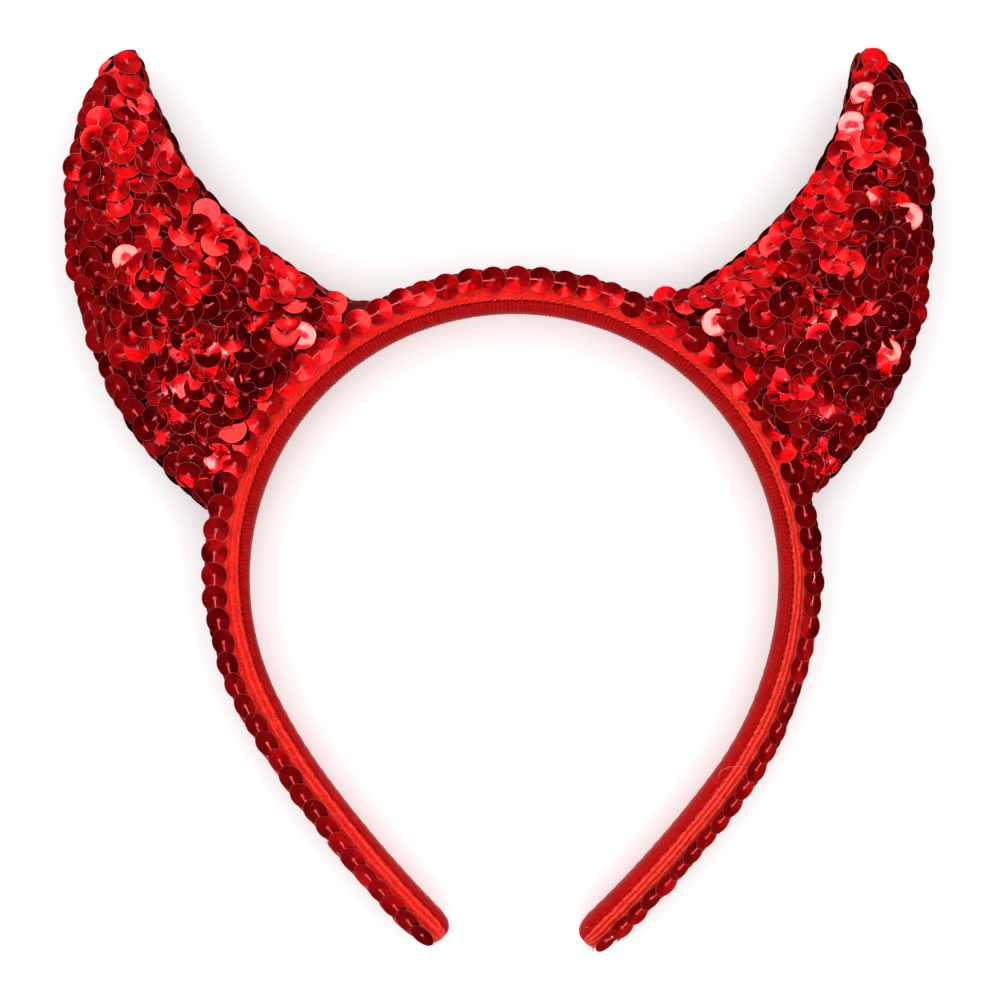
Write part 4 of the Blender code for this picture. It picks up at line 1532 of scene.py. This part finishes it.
def settle(field, catch_lights, twist, rng):
    """Tilt and lift the sequins of one horn so that they overlap as sewn ones do, the lowest first."""
    count = len(field.spots)
    calm = np.array([calmer(direction) for direction in field.away])
    height_up_horn = field.spots[:, 1] + ORDER_SLANT * np.abs(field.spots[:, 0])
    order = height_up_horn * field.runs + rng.normal(0.0, ORDER_SCATTER, count)
    order[:TIP_SEQUINS] = order.max() + ORDER_STEP / 2
    catching = pick_catching(field, calm, catch_lights)
    for index in catching:
        order[index] = order.max() + ORDER_STEP
    faces = leaning_faces(field, calm, order, catching, twist, rng)
    rim_angles = np.arange(12) * 2.0 * math.pi / 12
    ring = np.stack((np.cos(rim_angles), np.sin(rim_angles)), axis=1)
    flat = np.concatenate((ring * SEQUIN_RADIUS, ring[::2] * 0.6 * SEQUIN_RADIUS))
    samples = (flat, cup_middle(np.linalg.norm(flat, axis=1)))
    placings = [None] * count
    placed = []
    for index in np.argsort(order):
        tilt = math.acos(min(1.0, float(faces[index] @ calm[index])))
        rise = LEAST_RISE + 0.4 * SEQUIN_RADIUS * math.sin(tilt)
        start = field.spots[index] + calm[index] * rise
        turn = np.array(sequin_frame(start, faces[index], field.to_tip[index]).to_3x3())
        lift = 0.0
        for centre, other_turn in placed:
            if np.linalg.norm(centre - start) < 2.0 * SEQUIN_RADIUS and other_turn[:, 2] @ turn[:, 2] > 0.6:
                lift = max(lift, clearance_needed((centre, other_turn), (start, turn), calm[index], samples))
        centre = start + calm[index] * min(lift, MOST_LIFT)
        placed.append((centre, turn))
        cup = FIELD_CUPS[0] if index in catching else rng.uniform(*FIELD_CUPS)
        matrix = sequin_frame(centre, faces[index], field.to_tip[index])
        placings[index] = bent_placing(matrix, rng.uniform(0.0, 1.0), cup, HORN_WARP, rng)
    return placings, order


def sew_field(work, placings, order, rng):
    """Threads over a horn: each sequin is held from under a neighbour that covers it."""
    centres = np.array([placing.matrix.translation for placing in placings])
    faces = np.array([placing.matrix.col[2][:3] for placing in placings])
    for index, placing in enumerate(placings):
        distance = np.linalg.norm(centres - centres[index], axis=1)
        facing = faces @ faces[index] > 0.5
        near = (distance > 0) & (distance < HOLDING_REACH) & facing & (order > order[index])
        if near.any():
            choice = np.flatnonzero(near)[np.argmin(distance[near])]
            reach = max(distance[choice] - SEQUIN_RADIUS + FIELD_REACH, LEAST_FIELD_REACH)
            sew_on(work, placing.matrix, Vector(centres[choice]), min(reach, MOST_FIELD_REACH), rng)
        else:
            turn = rng.uniform(0.0, 2.0 * math.pi)
            away = placing.matrix @ (Vector((math.cos(turn), math.sin(turn), 0.0)) * SEQUIN_RADIUS)
            sew_on(work, placing.matrix, away, rng.uniform(*FREE_REACH), rng)


# Sequins that catch a lamp, at places in the headband's plane in millimetres
CatchLight = namedtuple("CatchLight", "x y lamp")


LEFT_CATCH_LIGHTS = (
    CatchLight(-48.6, 56.2, "small_lamp"),
    CatchLight(-84.9, 71.8, "small_lamp"),
    CatchLight(-61.4, 31.1, "softbox_left"),
    CatchLight(-67.4, 82.3, "softbox_right"),
)
RIGHT_CATCH_LIGHTS = (
    CatchLight(45.9, 57.9, "small_lamp"),
    CatchLight(82.4, 51.2, "small_lamp"),
    CatchLight(87.0, 80.5, "small_lamp"),
    CatchLight(79.2, 107.2, "small_lamp"),
    CatchLight(77.4, 100.5, "small_lamp"),
)


def dress_horn(side, table, base_turn, catch_lights, sewing, finishes):
    """Cloth, sequins and threads of one horn."""
    rng = np.random.default_rng(sewing.seed)
    node = side + "_horn"
    grid = pucker(horn_cloth_grid(table, base_turn), rng)
    make_horn_cloth_piece(side + "_horn_cloth", grid, finishes["cloth"], node)
    field = spread_over_horn(grid, sewing.tip_shift, rng)
    placings, order = settle(field, catch_lights, sewing.twist, rng)
    seams = seam_placings(grid, rng)
    stamp_sequins(side + "_horn_sequins", placings + seams, finishes["sequin"], [node])
    work = ThreadWork()
    sew_field(work, placings, order, rng)
    work.finish(side + "_horn_threads", finishes["thread"], "horn_cloth")


# Strings

def dress_strings(finishes):
    """The strings of sequins along the band, with their threads."""
    rng = np.random.default_rng(STRING_SEED)
    start, end = LEFT_LEG_END + STRING_END_MARGIN, RIGHT_LEG_END - STRING_END_MARGIN
    front = string_stations_along(start, end)[::-1]
    strings = (
        ("front_sequin_row", front, shoulder_seat, 1.0, 1.0),
        ("back_sequin_row", (front[1:] + front[:-1]) / 2, shoulder_seat, -1.0, 0.7),
        ("crown_sequin_row", string_stations_along(*CROWN_RUN)[::-1], middle_seat, 1.0, 1.6),
        ("left_leg_sequin_row", string_stations_along(*LEFT_LEG_RUN)[::-1], middle_seat, 1.0, 1.0),
        ("right_leg_sequin_row", string_stations_along(*RIGHT_LEG_RUN)[::-1], middle_seat, 1.0, 1.0),
    )
    sewn = {name: string_placings(*string, rng) for name, *string in strings}
    for name, placings in sewn.items():
        string = name.replace("_row", "_string")
        stamp_sequins(string, placings, finishes["sequin"], [name])
        work = ThreadWork()
        sew_string(work, placings, rng)
        work.finish(string + "_thread", finishes["thread"], "red_sequins")


# Studio

def make_floor(material):
    """The table top, which is not part of the headband."""
    corners = [(x * FLOOR_HALF, y * FLOOR_HALF, 0.0) for x, y in ((-1, -1), (1, -1), (1, 1), (-1, 1))]
    mesh = bpy.data.meshes.new("floor")
    mesh.from_pydata(corners, [], [(0, 1, 2, 3)])
    mesh.materials.append(material)
    floor = add_object("floor", mesh)
    floor.visible_glossy = False


def side_level(tree, flat, slant_share, side):
    """Brightness that one side of the studio adds in the direction looked in."""
    bearing = math.radians(side.bearing)
    towards = vector_maths(tree, "DOT_PRODUCT", flat, (math.cos(bearing), math.sin(bearing), 0.0))
    ahead = maths(tree, "MAXIMUM", towards, 0.0)
    weight = maths(tree, "MULTIPLY", ahead, ahead)
    ramp = add_node(tree, "ShaderNodeValToRGB", {"Fac": slant_share}, label=side.name)
    elements = ramp.color_ramp.elements
    while len(elements) < len(side.steps):
        elements.new(0.5)
    for element, step in zip(elements, side.steps):
        element.position = step.slant / 180.0
        element.color = (step.level / MOST_STEP,) * 3 + (1.0,)
    return maths(tree, "MULTIPLY", maths(tree, "MULTIPLY", ramp.outputs["Color"], MOST_STEP), weight)


def make_studio_light():
    """Even pale light, with panels, lamps and a cluttered dark room that only glossy rays see."""
    world = bpy.data.worlds.new("studio")
    bpy.context.scene.world = world
    world.use_nodes = True
    tree = world.node_tree
    place = coordinates(tree, "Generated")
    height = add_node(tree, "ShaderNodeSeparateXYZ", {"Vector": place}).outputs["Z"]
    slant_share = maths(tree, "DIVIDE", maths(tree, "ARCCOSINE", height), math.pi)
    flat = vector_maths(tree, "NORMALIZE", vector_maths(tree, "MULTIPLY", place, (1.0, 1.0, 0.0)))
    level = 0.0
    for side in STUDIO_SIDES:
        level = maths(tree, "ADD", side_level(tree, flat, slant_share, side), level)
    clutter = add_node(tree, "ShaderNodeTexVoronoi", {"Vector": place, "Scale": CLUTTER_SCALE})
    shade = add_node(tree, "ShaderNodeSeparateColor", {"Color": clutter.outputs["Color"]}).outputs["Red"]
    level = maths(tree, "MULTIPLY", level, rescale(tree, shade, target=(CLUTTER_LEAST, CLUTTER_MOST)))
    lamps = 0.0
    for lamp in STUDIO_LAMPS:
        towards = vector_maths(tree, "DOT_PRODUCT", place, tuple(LAMP_DIRECTIONS[lamp.name]))
        edge = [math.cos(math.radians(width)) for width in (lamp.half_width + lamp.edge, lamp.half_width)]
        soft = {"interpolation_type": "SMOOTHSTEP", "label": lamp.name}
        lamps = maths(tree, "ADD", rescale(tree, towards, edge, (0.0, lamp.level), **soft), lamps)
    glow = vector_maths(tree, "MULTIPLY_ADD", lamps, LAMP_WARMTH, level)
    glossy = add_node(tree, "ShaderNodeLightPath").outputs["Is Glossy Ray"]
    pale = (STUDIO_PALE, STUDIO_PALE, STUDIO_PALE)
    choice = add_node(tree, "ShaderNodeMix", {"Factor": glossy, "A": pale, "B": glow}, data_type="VECTOR")
    feed(tree, tree.nodes["Background"], {"Color": choice.outputs["Result"]})


def make_camera():
    """The camera in front of the headband, above the table that it lies on."""
    lens = bpy.data.cameras.new("camera")
    lens.sensor_width = SENSOR_WIDTH_MM
    lens.lens = SENSOR_WIDTH_MM * CAMERA_SPOT.z / FRAME_WIDTH
    lens.clip_start = 0.01
    lens.clip_end = 20.0
    camera = add_object("camera", lens)
    camera.matrix_world = LYING @ Matrix.Translation(CAMERA_SPOT)
    bpy.context.scene.camera = camera


make_camera()
dye = make_uneven_dye()
threads = make_fine_threads()
thread_finish = make_dyed(SEWING_THREAD, dye, threads)
FINISHES = {
    "sequin": [make_sequin_foil(dye), make_dyed(CUT_PLASTIC, dye, threads)],
    "thread": thread_finish,
    "cloth": make_dyed(HORN_CLOTH, dye, threads),
}
cover = make_satin_cover(make_ribbon(SATIN, dye, threads))
make_ribbed_lining(make_ribbon(RIBBED_RIBBON, dye, threads))
sew_edge(make_dyed(EDGE_THREAD, dye, threads))
fray(thread_finish)
dress_strings(FINISHES)
dress_horn("left", LEFT_HORN, LEFT_BASE_TURN, LEFT_CATCH_LIGHTS, LEFT_SEWING, FINISHES)
dress_horn("right", RIGHT_HORN, RIGHT_BASE_TURN, RIGHT_CATCH_LIGHTS, RIGHT_SEWING, FINISHES)
make_floor(make_dyed(PALE_FLOOR, dye, threads))
make_studio_light()
bpy.context.scene.view_settings.view_transform = "Standard"
